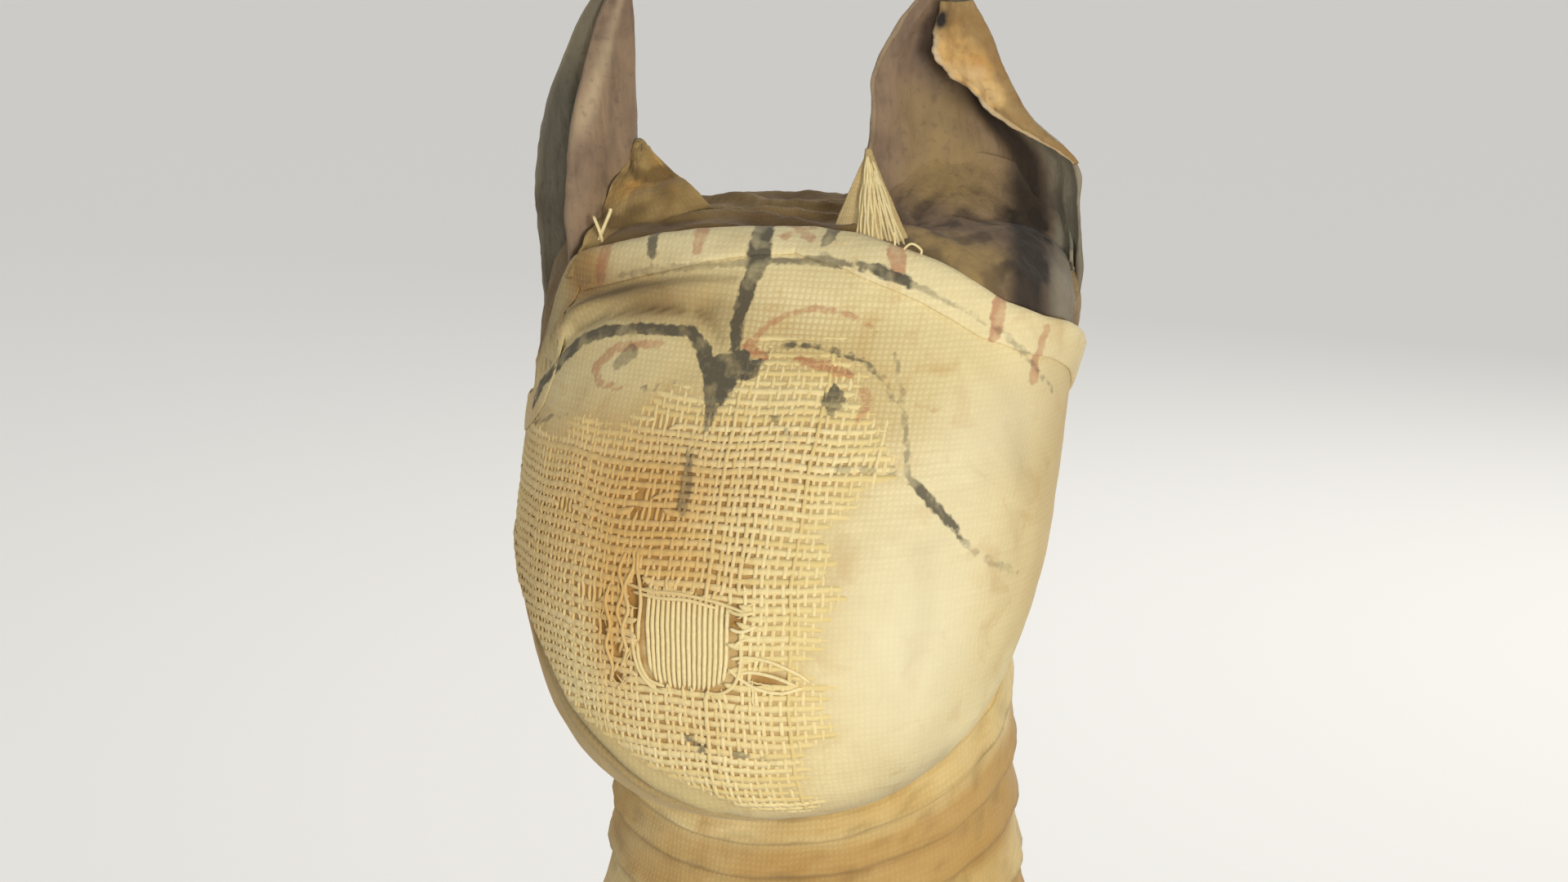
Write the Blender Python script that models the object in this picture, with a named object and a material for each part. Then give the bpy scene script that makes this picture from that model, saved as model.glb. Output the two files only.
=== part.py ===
"""A wrapped cat mummy that stands upright on its foot end, built layer by layer.

Metres, +Z up. The painted face looks along -Y, and the animal's own left is +X.
The origin lies in the flat foot face, on the body's axis.
"""

import math

import bmesh
import bpy
from mathutils import Matrix, Vector

MM = 0.001

# Clearances
SEAT = 0.3 * MM  # between a layer and the layer that it lies on
WRAP_SEAT = 0.5 * MM  # between two turns of bandage

# Cloth thicknesses
MASK_CLOTH = 1.2 * MM
CROWN_CLOTH = 1.2 * MM
HEM_CLOTH = 1.1 * MM
SHROUD_CLOTH = 1.0 * MM
BANDAGE_CLOTH = 1.1 * MM
COLLAR_CLOTH = 1.3 * MM
EAR_HIDE = 1.3 * MM
EAR_LINING = 1.0 * MM
FLAP_HIDE = 0.9 * MM

# Head, measured from the underside of the chin and from the head's own axis
CHIN_HEIGHT = 300 * MM
HEAD_HEIGHT = 98.5 * MM
HEAD_HALF_WIDTH = 47.4 * MM
MUZZLE_REACH = 53.5 * MM
HEAD_BACK = 36.5 * MM
HEAD_SIDES = 28  # faces round the head
HEAD_STEP = 0.75  # rings are this share of a row of HEAD_SHAPE apart

# Shares of HEAD_HEIGHT, HEAD_HALF_WIDTH, MUZZLE_REACH and HEAD_BACK, chin to crown
HEAD_SHAPE = [
    (0.000, 0.000, 0.450, -0.660),
    (0.015, 0.332, 0.710, -0.250),
    (0.061, 0.566, 0.860, 0.080),
    (0.152, 0.762, 0.955, 0.410),
    (0.284, 0.885, 1.000, 0.660),
    (0.426, 0.956, 0.990, 0.820),
    (0.579, 0.981, 0.870, 0.930),
    (0.731, 0.992, 0.700, 0.985),
    (0.853, 1.000, 0.551, 1.000),
    (0.939, 0.930, 0.458, 0.930),
    (0.983, 0.735, 0.350, 0.770),
    (0.997, 0.400, 0.150, 0.500),
    (1.000, 0.000, -0.100, 0.150),
]

# Brow hem: the mask's upper edge lies in a plane that falls towards the nape
HEM_FRONT_DROP = 1.0 * MM  # under the crown
HEM_FRONT_REACH = 18.5 * MM
HEM_FALL = 0.70  # drop for each unit back
HEM_DEPTH = 5.5 * MM
HEM_PROUD = 0.9 * MM  # how far the hem stands above the mask's edge
CROWN_GAP = 0.7 * MM  # between the mask's edge and the crown cloth, under the hem

# Body: height, half width, reach to the front and to the back
FOOT_PAD_HEIGHT = 12 * MM
FOOT = (FOOT_PAD_HEIGHT, 34 * MM, 31 * MM, 33 * MM)
KNEE = (52 * MM, 41 * MM, 38 * MM, 39 * MM)
HIP = (110 * MM, 48 * MM, 45 * MM, 44 * MM)
CHEST = (190 * MM, 50.5 * MM, 47 * MM, 46 * MM)
SHOULDER = (238 * MM, 45 * MM, 38.5 * MM, 43 * MM)
NECK_BASE = (CHIN_HEIGHT - 32 * MM, 36.5 * MM, 26 * MM, 38 * MM)
NECK = (CHIN_HEIGHT - 5 * MM, 33 * MM, 22 * MM, 34 * MM)
NAPE = (CHIN_HEIGHT + 27 * MM, 32.5 * MM, 21 * MM, 31.5 * MM)
NECK_TOP = (CHIN_HEIGHT + 62 * MM, 32.5 * MM, 21 * MM, 31 * MM)
BODY_SHAPE = [FOOT, KNEE, HIP, CHEST, SHOULDER, NECK_BASE, NECK, NAPE, NECK_TOP]
BODY_SIDES = 24
BODY_ROWS = 8  # rows of faces from the foot to the shoulder
NECK_ROWS = 10  # rows of faces from the shoulder up

# Bandage winding: one row of overlapping turns from the foot to the jaw line
WRAP_TURNS = 22.0
JAW_LINE = 0.223  # share of the head's height where the winding meets the jaw's sides
NAPE_CLIMB = 0.228  # the last turns climb this share of the head's height round the neck
WRAP_TOP = CHIN_HEIGHT + JAW_LINE * HEAD_HEIGHT
WRAP_RISE = NAPE_CLIMB * HEAD_HEIGHT
WRAP_CROWDING = 0.42  # how much closer the turns lie at the neck than halfway up
RISE_POWER = 5  # the climb fades out below the neck with this power
WRAP_WIDTH = 1.25  # width of the bandage, in turns
WRAP_SPANS = 1  # flat spans across the bandage
STRIP_GAP = 1.0 * MM  # between the end of one strip and the start of the next
WRAP_START = -1  # the first strip starts as a narrow corner under the first full turn
WRAP_END = WRAP_TURNS - 0.25
TRIMMED_TURNS = 6  # the strips of the last turns are trimmed to the head
# Each strip's name, the turn that it ends at and its cloth
STRIPS = [
    ("foot_bandage", 4, "linen_ochre"),
    ("hip_bandage", 8, "linen_cream"),
    ("belly_bandage", 11, "linen_ochre"),
    ("chest_bandage", 14, "linen_cream"),
    ("shoulder_bandage", 17, "linen_amber"),
    ("neck_bandage", WRAP_END, "linen_cream"),
]

# Foot pad
FOOT_ROUNDING = 5 * MM
FOOT_EDGE_ROWS = 3

# Ears: height above the crown, centre x, centre y, half width across, cup depth
LEFT_EAR = [
    (-32.5 * MM, 28.5 * MM, 5.0 * MM, 16.5 * MM, 10.5 * MM),
    (-13.5 * MM, 29.2 * MM, 4.6 * MM, 16.7 * MM, 11.5 * MM),
    (1.5 * MM, 28.9 * MM, 4.7 * MM, 17.0 * MM, 10.5 * MM),
    (9.5 * MM, 28.2 * MM, 5.8 * MM, 16.6 * MM, 9.1 * MM),
    (16.5 * MM, 24.4 * MM, 6.3 * MM, 12.4 * MM, 7.5 * MM),
    (24.5 * MM, 21.8 * MM, 6.9 * MM, 10.0 * MM, 5.4 * MM),
    (31.5 * MM, 21.9 * MM, 7.8 * MM, 6.6 * MM, 3.4 * MM),
    (38.5 * MM, 22.3 * MM, 8.5 * MM, 2.2 * MM, 1.2 * MM),
]
RIGHT_EAR = [
    (-32.5 * MM, -42.3 * MM, -4.5 * MM, 8.3 * MM, 13.5 * MM),
    (-13.5 * MM, -44.2 * MM, -4.5 * MM, 8.8 * MM, 15.7 * MM),
    (1.5 * MM, -44.9 * MM, -5.5 * MM, 9.0 * MM, 16.0 * MM),
    (16.5 * MM, -43.2 * MM, -4.5 * MM, 7.6 * MM, 12.6 * MM),
    (29.5 * MM, -39.6 * MM, -2.5 * MM, 4.6 * MM, 8.0 * MM),
    (38.5 * MM, -36.0 * MM, 1.0 * MM, 1.8 * MM, 2.6 * MM),
]
LEFT_EAR_TURN = 12  # degrees that the ear opens away from the front, towards +X
RIGHT_EAR_TURN = -52
LEFT_EAR_SKEW = 0.45  # the cup's deepest line lies this much towards the outer rim
RIGHT_EAR_SKEW = 0.0
EAR_ROWS = 10
EAR_SPANS = 9
LINING_ROWS = 9  # the lining ends one row under the ear's tip
EAR_SOCKET = 0.8 * MM  # clearance round an ear in the crown cloth
EAR_MOUTH = 6 * MM  # a whole socket reaches this far out of the cup
SOCKET_TOP = 0.7  # share of the ear's height that the slot for its foot reaches

# Loose hide peeled from the left ear's outer rim: share of the ear's height, width
FLAP_ROWS = [
    (0.58, 0.8 * MM),
    (0.63, 3.5 * MM),
    (0.70, 6.7 * MM),
    (0.80, 10.5 * MM),
    (0.90, 8.8 * MM),
    (0.97, 5.5 * MM),
]
FLAP_STAND = 0.7 * MM  # the flap lies this far in front of the ear's rim
FLAP_SWELL = 0.22  # how far the flap bulges, as a share of its width
FLAP_SPANS = 4

# Cloth collars at the inner foot of each ear: three corners (x, y, height above the crown)
LEFT_COLLAR = [
    (10.5 * MM, -12.5 * MM, -1.5 * MM),
    (24.0 * MM, -14.5 * MM, -3.5 * MM),
    (12.7 * MM, -3.0 * MM, 12.0 * MM),
]
RIGHT_COLLAR = [
    (-31.5 * MM, -13.5 * MM, -7.5 * MM),
    (-13.5 * MM, -7.0 * MM, -0.5 * MM),
    (-28.3 * MM, -1.5 * MM, 11.0 * MM),
]
COLLAR_ROWS = 5
COLLAR_SWELL = 1.5 * MM
COLLAR_TOP = 0.92  # the torn point is blunt: the corner ends at this share of its height

# Head packing: three linen wads round the skull
FACE_PAD_BACK = -14 * MM  # the face pad ends at this y, and the two side pads begin
PAD_GAP = 0.4 * MM

# Skull: nose tip, length, and the slope of its axis
NOSE_DROP = 51.5 * MM  # under the crown
NOSE_TIP = Vector((0, -42 * MM, CHIN_HEIGHT + HEAD_HEIGHT - NOSE_DROP))
SKULL_LENGTH = 66 * MM
SKULL_SLOPE = 18  # degrees, nose down
SKULL_CLEARANCE = 0.5 * MM
# share of the length, half width, height over the axis, depth under it
SKULL_SHAPE = [
    (0.00, 5.0 * MM, 4.5 * MM, 5.0 * MM),
    (0.06, 8.5 * MM, 7.5 * MM, 8.0 * MM),
    (0.22, 11.5 * MM, 11.5 * MM, 10.5 * MM),
    (0.38, 13.5 * MM, 18.0 * MM, 11.5 * MM),
    (0.52, 17.0 * MM, 22.5 * MM, 12.5 * MM),
    (0.70, 22.0 * MM, 24.0 * MM, 13.0 * MM),
    (0.85, 20.0 * MM, 21.0 * MM, 11.5 * MM),
    (0.95, 14.0 * MM, 14.0 * MM, 8.0 * MM),
    (1.00, 7.0 * MM, 7.0 * MM, 4.0 * MM),
]
SKULL_SIDES = 16
EYE_RADIUS = 8.2 * MM
EYE_SHARE = 0.37  # places along the skull are shares of its length
EYE_SPREAD = 15.5 * MM
EYE_RISE = 9 * MM
ARCH_START = 0.30
ARCH_END = 0.72
ARCH_ROWS = 6
ARCH_ROOT = 2 * MM  # the cheek arch starts and ends this deep in the skull
ARCH_REACH = 25.0 * MM
ARCH_FALL = 3 * MM
ARCH_RADIUS = 2.2 * MM
ARCH_ROOM = 1.0 * MM
ARCH_ROOM_START = 0.12  # the hollow widens for the cheek arches over this stretch
ARCH_ROOM_END = 0.90
JAW_DROP = 15.5 * MM  # the jaw's upper edge under the skull's axis
JAW_HEIGHT = 6.0 * MM
JAW_THICKNESS = 4.5 * MM
JAW_SPREAD = 17 * MM
JAW_FRONT = 0.03
JAW_LENGTH = 0.62
JAW_HINGE_RISE = 5.5 * MM
JAW_ROWS = 12
HOLLOW_END = 0.015  # the hollow's ends stand clear of the skull's by this
HOLLOW_JAW_END = 0.12
JAW_HOLLOW = 1.4  # how much deeper the hollow is than the jaw, for its width at the jaw

# Dried body inside the packing: height, half width, reach to the front and back
TRUNK_SHAPE = [
    (72 * MM, 8 * MM, 4 * MM, 16 * MM),
    (84 * MM, 18 * MM, 12 * MM, 24 * MM),
    (110 * MM, 21 * MM, 13 * MM, 27 * MM),
    (145 * MM, 19 * MM, 13 * MM, 27 * MM),
    (180 * MM, 23 * MM, 17 * MM, 28 * MM),
    (215 * MM, 24 * MM, 19 * MM, 28 * MM),
    (240 * MM, 20 * MM, 16 * MM, 26 * MM),
    (256 * MM, 11 * MM, 6 * MM, 20 * MM),
]
TRUNK_SIDES = 14
RIBS = 9
RIB_LOW = 166 * MM
RIB_HIGH = 238 * MM
RIB_DEPTH = 1.6 * MM
LIMB_SIDES = 7
# Routes of the animal's left limbs and the tail: x, y, height and radius
FORELEG = [
    (14.0 * MM, -24.8 * MM, 234 * MM, 5.5 * MM),
    (14.0 * MM, -27.7 * MM, 200 * MM, 5.5 * MM),
    (12.0 * MM, -27.5 * MM, 160 * MM, 4.5 * MM),
    (11.0 * MM, -27.0 * MM, 122 * MM, 4.0 * MM),
    (10.5 * MM, -27.0 * MM, 104 * MM, 5.0 * MM),
    (10.5 * MM, -27.0 * MM, 92 * MM, 3.0 * MM),
]
HIND_LEG = [
    (29.5 * MM, 8.0 * MM, 92 * MM, 7.0 * MM),
    (30.0 * MM, 0.0 * MM, 120 * MM, 6.5 * MM),
    (29.5 * MM, -11.0 * MM, 138 * MM, 5.0 * MM),
    (28.0 * MM, -17.0 * MM, 118 * MM, 4.5 * MM),
    (26.0 * MM, -10.0 * MM, 84 * MM, 4.0 * MM),
    (22.0 * MM, -4.0 * MM, 62 * MM, 4.0 * MM),
    (18.0 * MM, -14.0 * MM, 51 * MM, 4.0 * MM),
    (15.0 * MM, -24.0 * MM, 50 * MM, 3.0 * MM),
]
TAIL = [
    (0, 8.0 * MM, 70.9 * MM, 3.5 * MM),
    (0, 10.0 * MM, 57 * MM, 3.5 * MM),
    (0, 0.0 * MM, 46.5 * MM, 3.2 * MM),
    (0, -17.0 * MM, 48 * MM, 3.0 * MM),
    (0, -25.0 * MM, 66 * MM, 2.8 * MM),
    (0, -26.0 * MM, 104 * MM, 2.4 * MM),
    (0, -26.0 * MM, 128 * MM, 1.6 * MM),
]
CAVITY_CLEARANCE = 0.5 * MM
# Hollow that the packing leaves round the body
CAVITY_SHAPE = [
    (33 * MM, 10 * MM, 22 * MM, 10 * MM),
    (41 * MM, 31 * MM, 33 * MM, 24 * MM),
    (70 * MM, 40 * MM, 35 * MM, 28 * MM),
    (130 * MM, 41 * MM, 36 * MM, 29 * MM),
    (175 * MM, 33 * MM, 38 * MM, 29.5 * MM),
    (230 * MM, 31 * MM, 37 * MM, 29.5 * MM),
    (248 * MM, 25 * MM, 31 * MM, 27 * MM),
    (259 * MM, 14 * MM, 9 * MM, 23 * MM),
]
SPINE_RADIUS = 6.0 * MM
SPINE_WAIST = 0.72  # share of the radius between two bones
SPINE_FOOT_BACK = 12 * MM
SPINE_FOOT_GAP = 1.3 * MM
SPINE_BOW = 3 * MM
SPINE_TOP_SHARE = 0.93
SPINE_TOP_DROP = 14 * MM
SPINE_CLEARANCE = 0.9 * MM
NECK_BONES = 7

COLOURS = {
    "linen_cream": (0.62, 0.50, 0.28, 0.9),
    "linen_ochre": (0.50, 0.34, 0.14, 0.9),
    "linen_amber": (0.55, 0.38, 0.17, 0.9),
    "linen_stained": (0.34, 0.23, 0.10, 0.92),
    "linen_coarse": (0.48, 0.38, 0.22, 0.95),
    "ear_hide": (0.17, 0.12, 0.08, 0.75),
    "ear_inner_hide": (0.24, 0.17, 0.10, 0.8),
    "ear_raw_hide": (0.48, 0.33, 0.14, 0.7),
    "bone": (0.45, 0.36, 0.22, 0.7),
    "dried_flesh": (0.10, 0.06, 0.035, 0.8),
}


def material(name):
    """One Principled material for each finish, made once."""
    found = bpy.data.materials.get(name)
    if found:
        return found
    made = bpy.data.materials.new(name)
    made.use_nodes = True
    red, green, blue, roughness = COLOURS[name]
    shader = made.node_tree.nodes["Principled BSDF"]
    shader.inputs["Base Color"].default_value = (red, green, blue, 1)
    shader.inputs["Roughness"].default_value = roughness
    shader.inputs["Metallic"].default_value = 0
    made.diffuse_color = (red, green, blue, 1)
    return made


def along(stations, place):
    """The values of a table's row at a place in its first column, on a smooth curve."""
    place = min(max(place, stations[0][0]), stations[-1][0])
    last = len(stations) - 2
    row = next((i for i in range(last + 1) if place <= stations[i + 1][0]), last)
    low, high = stations[row], stations[row + 1]
    span = high[0] - low[0]
    share = (place - low[0]) / span

    def slope(i, column):
        before, after = stations[max(i - 1, 0)], stations[min(i + 1, last + 1)]
        return (after[column] - before[column]) / (after[0] - before[0])

    values = []
    for column in range(1, len(low)):
        a, b = low[column], high[column]
        ga, gb = slope(row, column) * span, slope(row + 1, column) * span
        curve = (2 * a - 2 * b + ga + gb) * share ** 3
        curve += (3 * b - 3 * a - 2 * ga - gb) * share ** 2
        values.append(curve + ga * share + a)
    return values


def new_object(name, bm, finish):
    """Makes the object of a finished bmesh, smooth but for its sharp edges."""
    mesh = bpy.data.meshes.new(name)
    bm.to_mesh(mesh)
    bm.free()
    mesh.shade_smooth()
    mesh.set_sharp_from_angle(angle=math.radians(40))
    made = bpy.data.objects.new(name, mesh)
    bpy.context.scene.collection.objects.link(made)
    if finish:
        mesh.materials.append(material(finish))
    return made


def as_cutter(obj):
    """Keeps an object as a tool that other pieces are cut with."""
    obj.hide_render = True
    obj.display_type = "WIRE"
    return obj


def combine(obj, tool, operation="DIFFERENCE"):
    """Adds an exact Boolean with a closed tool to an object."""
    boolean = obj.modifiers.new(tool.name, "BOOLEAN")
    boolean.operation = operation
    boolean.object = tool
    boolean.solver = "EXACT"
    return obj


def thicken(obj, thickness, side):
    """Gives a sheet its cloth's thickness, along its normals (1) or against them (-1)."""
    solid = obj.modifiers.new("cloth", "SOLIDIFY")
    solid.thickness = thickness
    solid.offset = side
    return obj


def skin_rows(bm, rows, ring):
    """Joins rows of points to a surface; a ring's ends meet, and a row of one is a pole."""
    grid = [[bm.verts.new(point) for point in row] for row in rows]
    for low, high in zip(grid, grid[1:]):
        count = max(len(low), len(high))
        for i in range(count if ring else count - 1):
            after = (i + 1) % count
            corners = [low[i % len(low)], low[after % len(low)]]
            corners += [high[after % len(high)], high[i % len(high)]]
            corners = list(dict.fromkeys(corners))
            bm.faces.new(corners)
    return grid


def close_ends(bm, grid):
    """Fills the first and last ring of a skinned tube, where they aren't poles."""
    if len(grid[0]) > 1:
        bm.faces.new(list(reversed(grid[0])))
    if len(grid[-1]) > 1:
        bm.faces.new(grid[-1])


def outward(bm):
    """Turns a closed skin's faces to the outside."""
    bmesh.ops.recalc_face_normals(bm, faces=bm.faces)
    bm.normal_update()


def lofted(name, rows, finish=None):
    """A closed solid skinned over rings of points."""
    bm = bmesh.new()
    close_ends(bm, skin_rows(bm, rows, True))
    outward(bm)
    return new_object(name, bm, finish)


def sheet(name, rows, finish, towards):
    """An open sheet skinned over rows of points, its faces turned away from a point."""
    bm = bmesh.new()
    skin_rows(bm, rows, False)
    bmesh.ops.recalc_face_normals(bm, faces=bm.faces)
    bm.normal_update()
    leaning = sum((f.calc_center_median() - towards).dot(f.normal) for f in bm.faces)
    if leaning < 0:
        bmesh.ops.reverse_faces(bm, faces=bm.faces)
    return new_object(name, bm, finish)


def swept(name, path, sides, finish=None):
    """A solid limb: a smooth tube through points (x, y, z, radius)."""
    rows = []
    for i, (x, y, z, radius) in enumerate(path):
        before, after = path[max(i - 1, 0)], path[min(i + 1, len(path) - 1)]
        run = Vector(after[:3]) - Vector(before[:3])
        turn = run.to_track_quat("Z", "X")
        corners = [(radius * math.cos(a), radius * math.sin(a), 0) for a in angles(sides)]
        rows.append([Vector((x, y, z)) + turn @ Vector(corner) for corner in corners])
    return lofted(name, rows, finish)


def angles(count):
    return [2 * math.pi * i / count for i in range(count)]


def smooth_path(points, steps):
    """More points through a hand-set route of (x, y, z, radius)."""
    table = [(i, *point) for i, point in enumerate(points)]
    last = len(points) - 1
    return [along(table, last * i / steps) for i in range(steps + 1)]


def oval(centre_x, height, half_width, front, back, sides):
    """A level ring of points from the front, round by +X; front and back are reaches."""
    middle, depth = (back - front) / 2, (back + front) / 2
    return [
        Vector((centre_x + half_width * math.sin(a), middle - depth * math.cos(a), height))
        for a in angles(sides)
    ]


# Head


def head_bmesh(offset):
    """The head's whole surface, moved along its normals by an offset."""
    table = [(i, *row) for i, row in enumerate(HEAD_SHAPE)]
    last = len(HEAD_SHAPE) - 1
    steps = round(last / HEAD_STEP)
    rows = []
    for i in range(steps + 1):
        height, width, front, back = along(table, last * i / steps)
        ring = oval(
            0,
            CHIN_HEIGHT + height * HEAD_HEIGHT,
            width * HEAD_HALF_WIDTH,
            front * MUZZLE_REACH,
            back * HEAD_BACK,
            HEAD_SIDES,
        )
        rows.append(ring[:1] if i in (0, steps) else ring)
    bm = bmesh.new()
    skin_rows(bm, rows, True)
    outward(bm)
    moves = [(vert, vert.normal.copy()) for vert in bm.verts]
    for vert, normal in moves:
        vert.co += normal * offset
    bm.normal_update()
    return bm


def head_cutter(name, offset):
    return as_cutter(new_object(name, head_bmesh(offset), None))


def hem_plane():
    """A point and the upward normal of the plane that the mask's upper edge lies in."""
    point = Vector((0, -HEM_FRONT_REACH, CHIN_HEIGHT + HEAD_HEIGHT - HEM_FRONT_DROP))
    return point, Vector((0, HEM_FALL, 1)).normalized()


def keep_side(bm, point, normal, above):
    """Cuts a surface at a plane and keeps the part above or below it."""
    bmesh.ops.bisect_plane(
        bm,
        geom=bm.verts[:] + bm.edges[:] + bm.faces[:],
        plane_co=point,
        plane_no=normal,
        clear_inner=above,
        clear_outer=not above,
        dist=0.01 * MM,
    )


def face_mask(neck_column):
    """The painted linen over the face, from the brow hem to the neck."""
    point, normal = hem_plane()
    bm = head_bmesh(0)
    keep_side(bm, point, normal, above=False)
    mask = new_object("face_mask", bm, "linen_cream")
    thicken(mask, MASK_CLOTH, -1)
    combine(mask, neck_column)


def brow_hem():
    """The folded upper edge of the mask, a band that stands proud of it."""
    point, normal = hem_plane()
    bm = head_bmesh(SEAT)
    keep_side(bm, point + normal * HEM_PROUD, normal, above=False)
    keep_side(bm, point - normal * (HEM_DEPTH - HEM_PROUD), normal, above=True)
    hem = new_object("brow_hem", bm, "linen_cream")
    thicken(hem, HEM_CLOTH, 1)


def crown_cloth(sockets):
    """The stained cloth over the crown and the back of the head, open round the ears."""
    point, normal = hem_plane()
    bm = head_bmesh(0)
    keep_side(bm, point + normal * CROWN_GAP, normal, above=True)
    crown = new_object("crown_cloth", bm, "linen_stained")
    thicken(crown, CROWN_CLOTH, -1)
    for socket in sockets:
        combine(crown, socket)


# Ears


def ear_place(rows, share):
    """Height, centre, half width and cup depth of an ear at a share of its height."""
    low, high = rows[0][0], rows[-1][0]
    height = low + (high - low) * share
    x, y, half, depth = along(rows, height)
    return height, x, y, half, depth


def ear_directions(turn):
    """Level vectors of an ear: across it, towards +X, and out of its opening."""
    angle = math.radians(turn)
    opening = Vector((math.sin(angle), -math.cos(angle), 0))
    across = Vector((math.cos(angle), math.sin(angle), 0))
    return across, opening


def ear_point(rows, turn, skew, share, around, inset):
    """A point of an ear's cup: around runs from -1 at the -X rim to 1 at the +X rim."""
    height, x, y, half, depth = ear_place(rows, share)
    across, opening = ear_directions(turn)
    bend = math.pi / 2 * around
    deep = max(depth - inset, 0) * math.cos(bend) * (1 + skew * math.sin(bend))
    middle = Vector((x, y, CHIN_HEIGHT + HEAD_HEIGHT + height))
    return middle + across * max(half - inset, 0) * math.sin(bend) - opening * deep


def ear_rows(rows, turn, skew, inset, last):
    """Rows of points over an ear's cup, from inside the head to the ear's last row."""
    spots = levels(-1, 1, EAR_SPANS)
    shares = [i / EAR_ROWS for i in range(last + 1)]
    return [[ear_point(rows, turn, skew, s, a, inset) for a in spots] for s in shares]


def ear_socket(name, rows, turn, skew, whole):
    """The curved slot that an ear's foot needs in the crown cloth, or its whole cup."""
    opening = ear_directions(turn)[1]
    spots = levels(-1, 1, EAR_SPANS)
    outside, inside = -(EAR_HIDE + EAR_SOCKET), SEAT + EAR_LINING + EAR_SOCKET
    front = opening * (EAR_MOUTH if whole else EAR_SOCKET)
    back = [] if whole else spots[1:-1]
    rings = []
    for share in levels(0, SOCKET_TOP, EAR_ROWS):
        ring = [ear_point(rows, turn, skew, share, a, outside) for a in spots]
        ring += [ear_point(rows, turn, skew, share, 1, depth) + front for depth in (outside, inside)]
        ring += [ear_point(rows, turn, skew, share, -a, inside) for a in back]
        ring += [ear_point(rows, turn, skew, share, -1, depth) + front for depth in (inside, outside)]
        rings.append(ring)
    return as_cutter(lofted(name, rings))


def below_hem_cutter():
    """A block that fills everything under the hem's top edge, to trim the ears with."""
    point, normal = hem_plane()
    size = 4 * HEAD_HALF_WIDTH
    bm = bmesh.new()
    bmesh.ops.create_cube(bm, size=size)
    lift = normal * (HEM_PROUD + SEAT - size / 2)
    turn = Vector((0, 0, 1)).rotation_difference(normal).to_matrix().to_4x4()
    bmesh.ops.transform(bm, matrix=Matrix.Translation(point + lift) @ turn, verts=bm.verts)
    return as_cutter(new_object("below_hem", bm, None))


def ear(side, rows, turn, skew, hide_trim, lining_trim, below_hem):
    """One ear: the outer hide and the lining that lies in its cup."""
    across, opening = ear_directions(turn)
    height, x, y, half, depth = ear_place(rows, 0.5)
    mouth = Vector((x, y, CHIN_HEIGHT + HEAD_HEIGHT + height)) + opening * half * 3
    outer = ear_rows(rows, turn, skew, 0, EAR_ROWS)
    inner = ear_rows(rows, turn, skew, SEAT, LINING_ROWS)
    hide = sheet(side + "_ear_hide", outer, "ear_hide", mouth)
    thicken(hide, EAR_HIDE, 1)
    lining = sheet(side + "_ear_lining", inner, "ear_inner_hide", mouth)
    thicken(lining, EAR_LINING, -1)
    for leaf, head_trim in ((hide, hide_trim), (lining, lining_trim)):
        combine(leaf, below_hem)
        combine(leaf, head_trim)


def ear_flap():
    """Hide peeled from the left ear's outer rim, curled over the front of the cup."""
    across, opening = ear_directions(LEFT_EAR_TURN)
    rows = []
    for share, width in FLAP_ROWS:
        rim = ear_point(LEFT_EAR, LEFT_EAR_TURN, LEFT_EAR_SKEW, share, 1, -EAR_HIDE)
        row = []
        for i in range(FLAP_SPANS + 1):
            run = i / FLAP_SPANS
            swell = FLAP_STAND + FLAP_SWELL * width * math.sin(math.pi * run)
            row.append(rim - across * width * run + opening * swell)
        rows.append(row)
    inside = rows[2][2] - opening * LEFT_EAR[0][3]
    flap = sheet("left_ear_flap", rows, "ear_raw_hide", inside)
    thicken(flap, FLAP_HIDE, 1)


def ear_collar(name, corners, finish, trims):
    """A torn corner of cloth that stands against the inner foot of an ear."""
    left, right, top = (Vector((x, y, CHIN_HEIGHT + HEAD_HEIGHT + z)) for x, y, z in corners)
    facing = (right - left).cross(top - left).normalized()
    if facing.y > 0:
        facing = -facing
    rows = []
    for j in range(COLLAR_ROWS + 1):
        up = COLLAR_TOP * j / COLLAR_ROWS
        start, end = left.lerp(top, up), right.lerp(top, up)
        row = []
        for i in range(COLLAR_ROWS + 1):
            run = i / COLLAR_ROWS
            swell = COLLAR_SWELL * math.sin(math.pi * run) * (1 - up)
            row.append(start.lerp(end, run) + facing * swell)
        rows.append(row)
    middle = rows[2][2] - facing * (right - left).length
    collar = sheet(name, rows, finish, middle)
    thicken(collar, COLLAR_CLOTH, 1)
    for trim in trims:
        combine(collar, trim)


# Body


def body_ring(height, offset, sides=BODY_SIDES):
    """A level ring round the body, moved out by an offset."""
    return [body_point(height, a, offset) for a in angles(sides)]


def body_point(height, angle, offset):
    """A point on the body's side: the angle runs from the front towards +X."""
    half_width, front, back = along(BODY_SHAPE, height)
    middle, depth = (back - front) / 2, (back + front) / 2
    out = Vector((math.sin(angle) / half_width, -math.cos(angle) / depth, 0)).normalized()
    spot = Vector((half_width * math.sin(angle), middle - depth * math.cos(angle), height))
    return spot + out * offset


def levels(low, high, steps):
    return [low + (high - low) * i / steps for i in range(steps + 1)]


def body_levels():
    """Heights of the rings of the layers inside the winding, closer at the neck."""
    lower = levels(FOOT_PAD_HEIGHT + SEAT, SHOULDER[0], BODY_ROWS)
    return lower + levels(SHOULDER[0], NECK_TOP[0], NECK_ROWS)[1:]


def neck_column_cutter():
    """The neck, as the hole that it needs in the mask."""
    heights = [h for h in body_levels() if h >= SHOULDER[0]]
    return as_cutter(lofted("neck_column", [body_ring(h, 0) for h in heights]))


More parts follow.
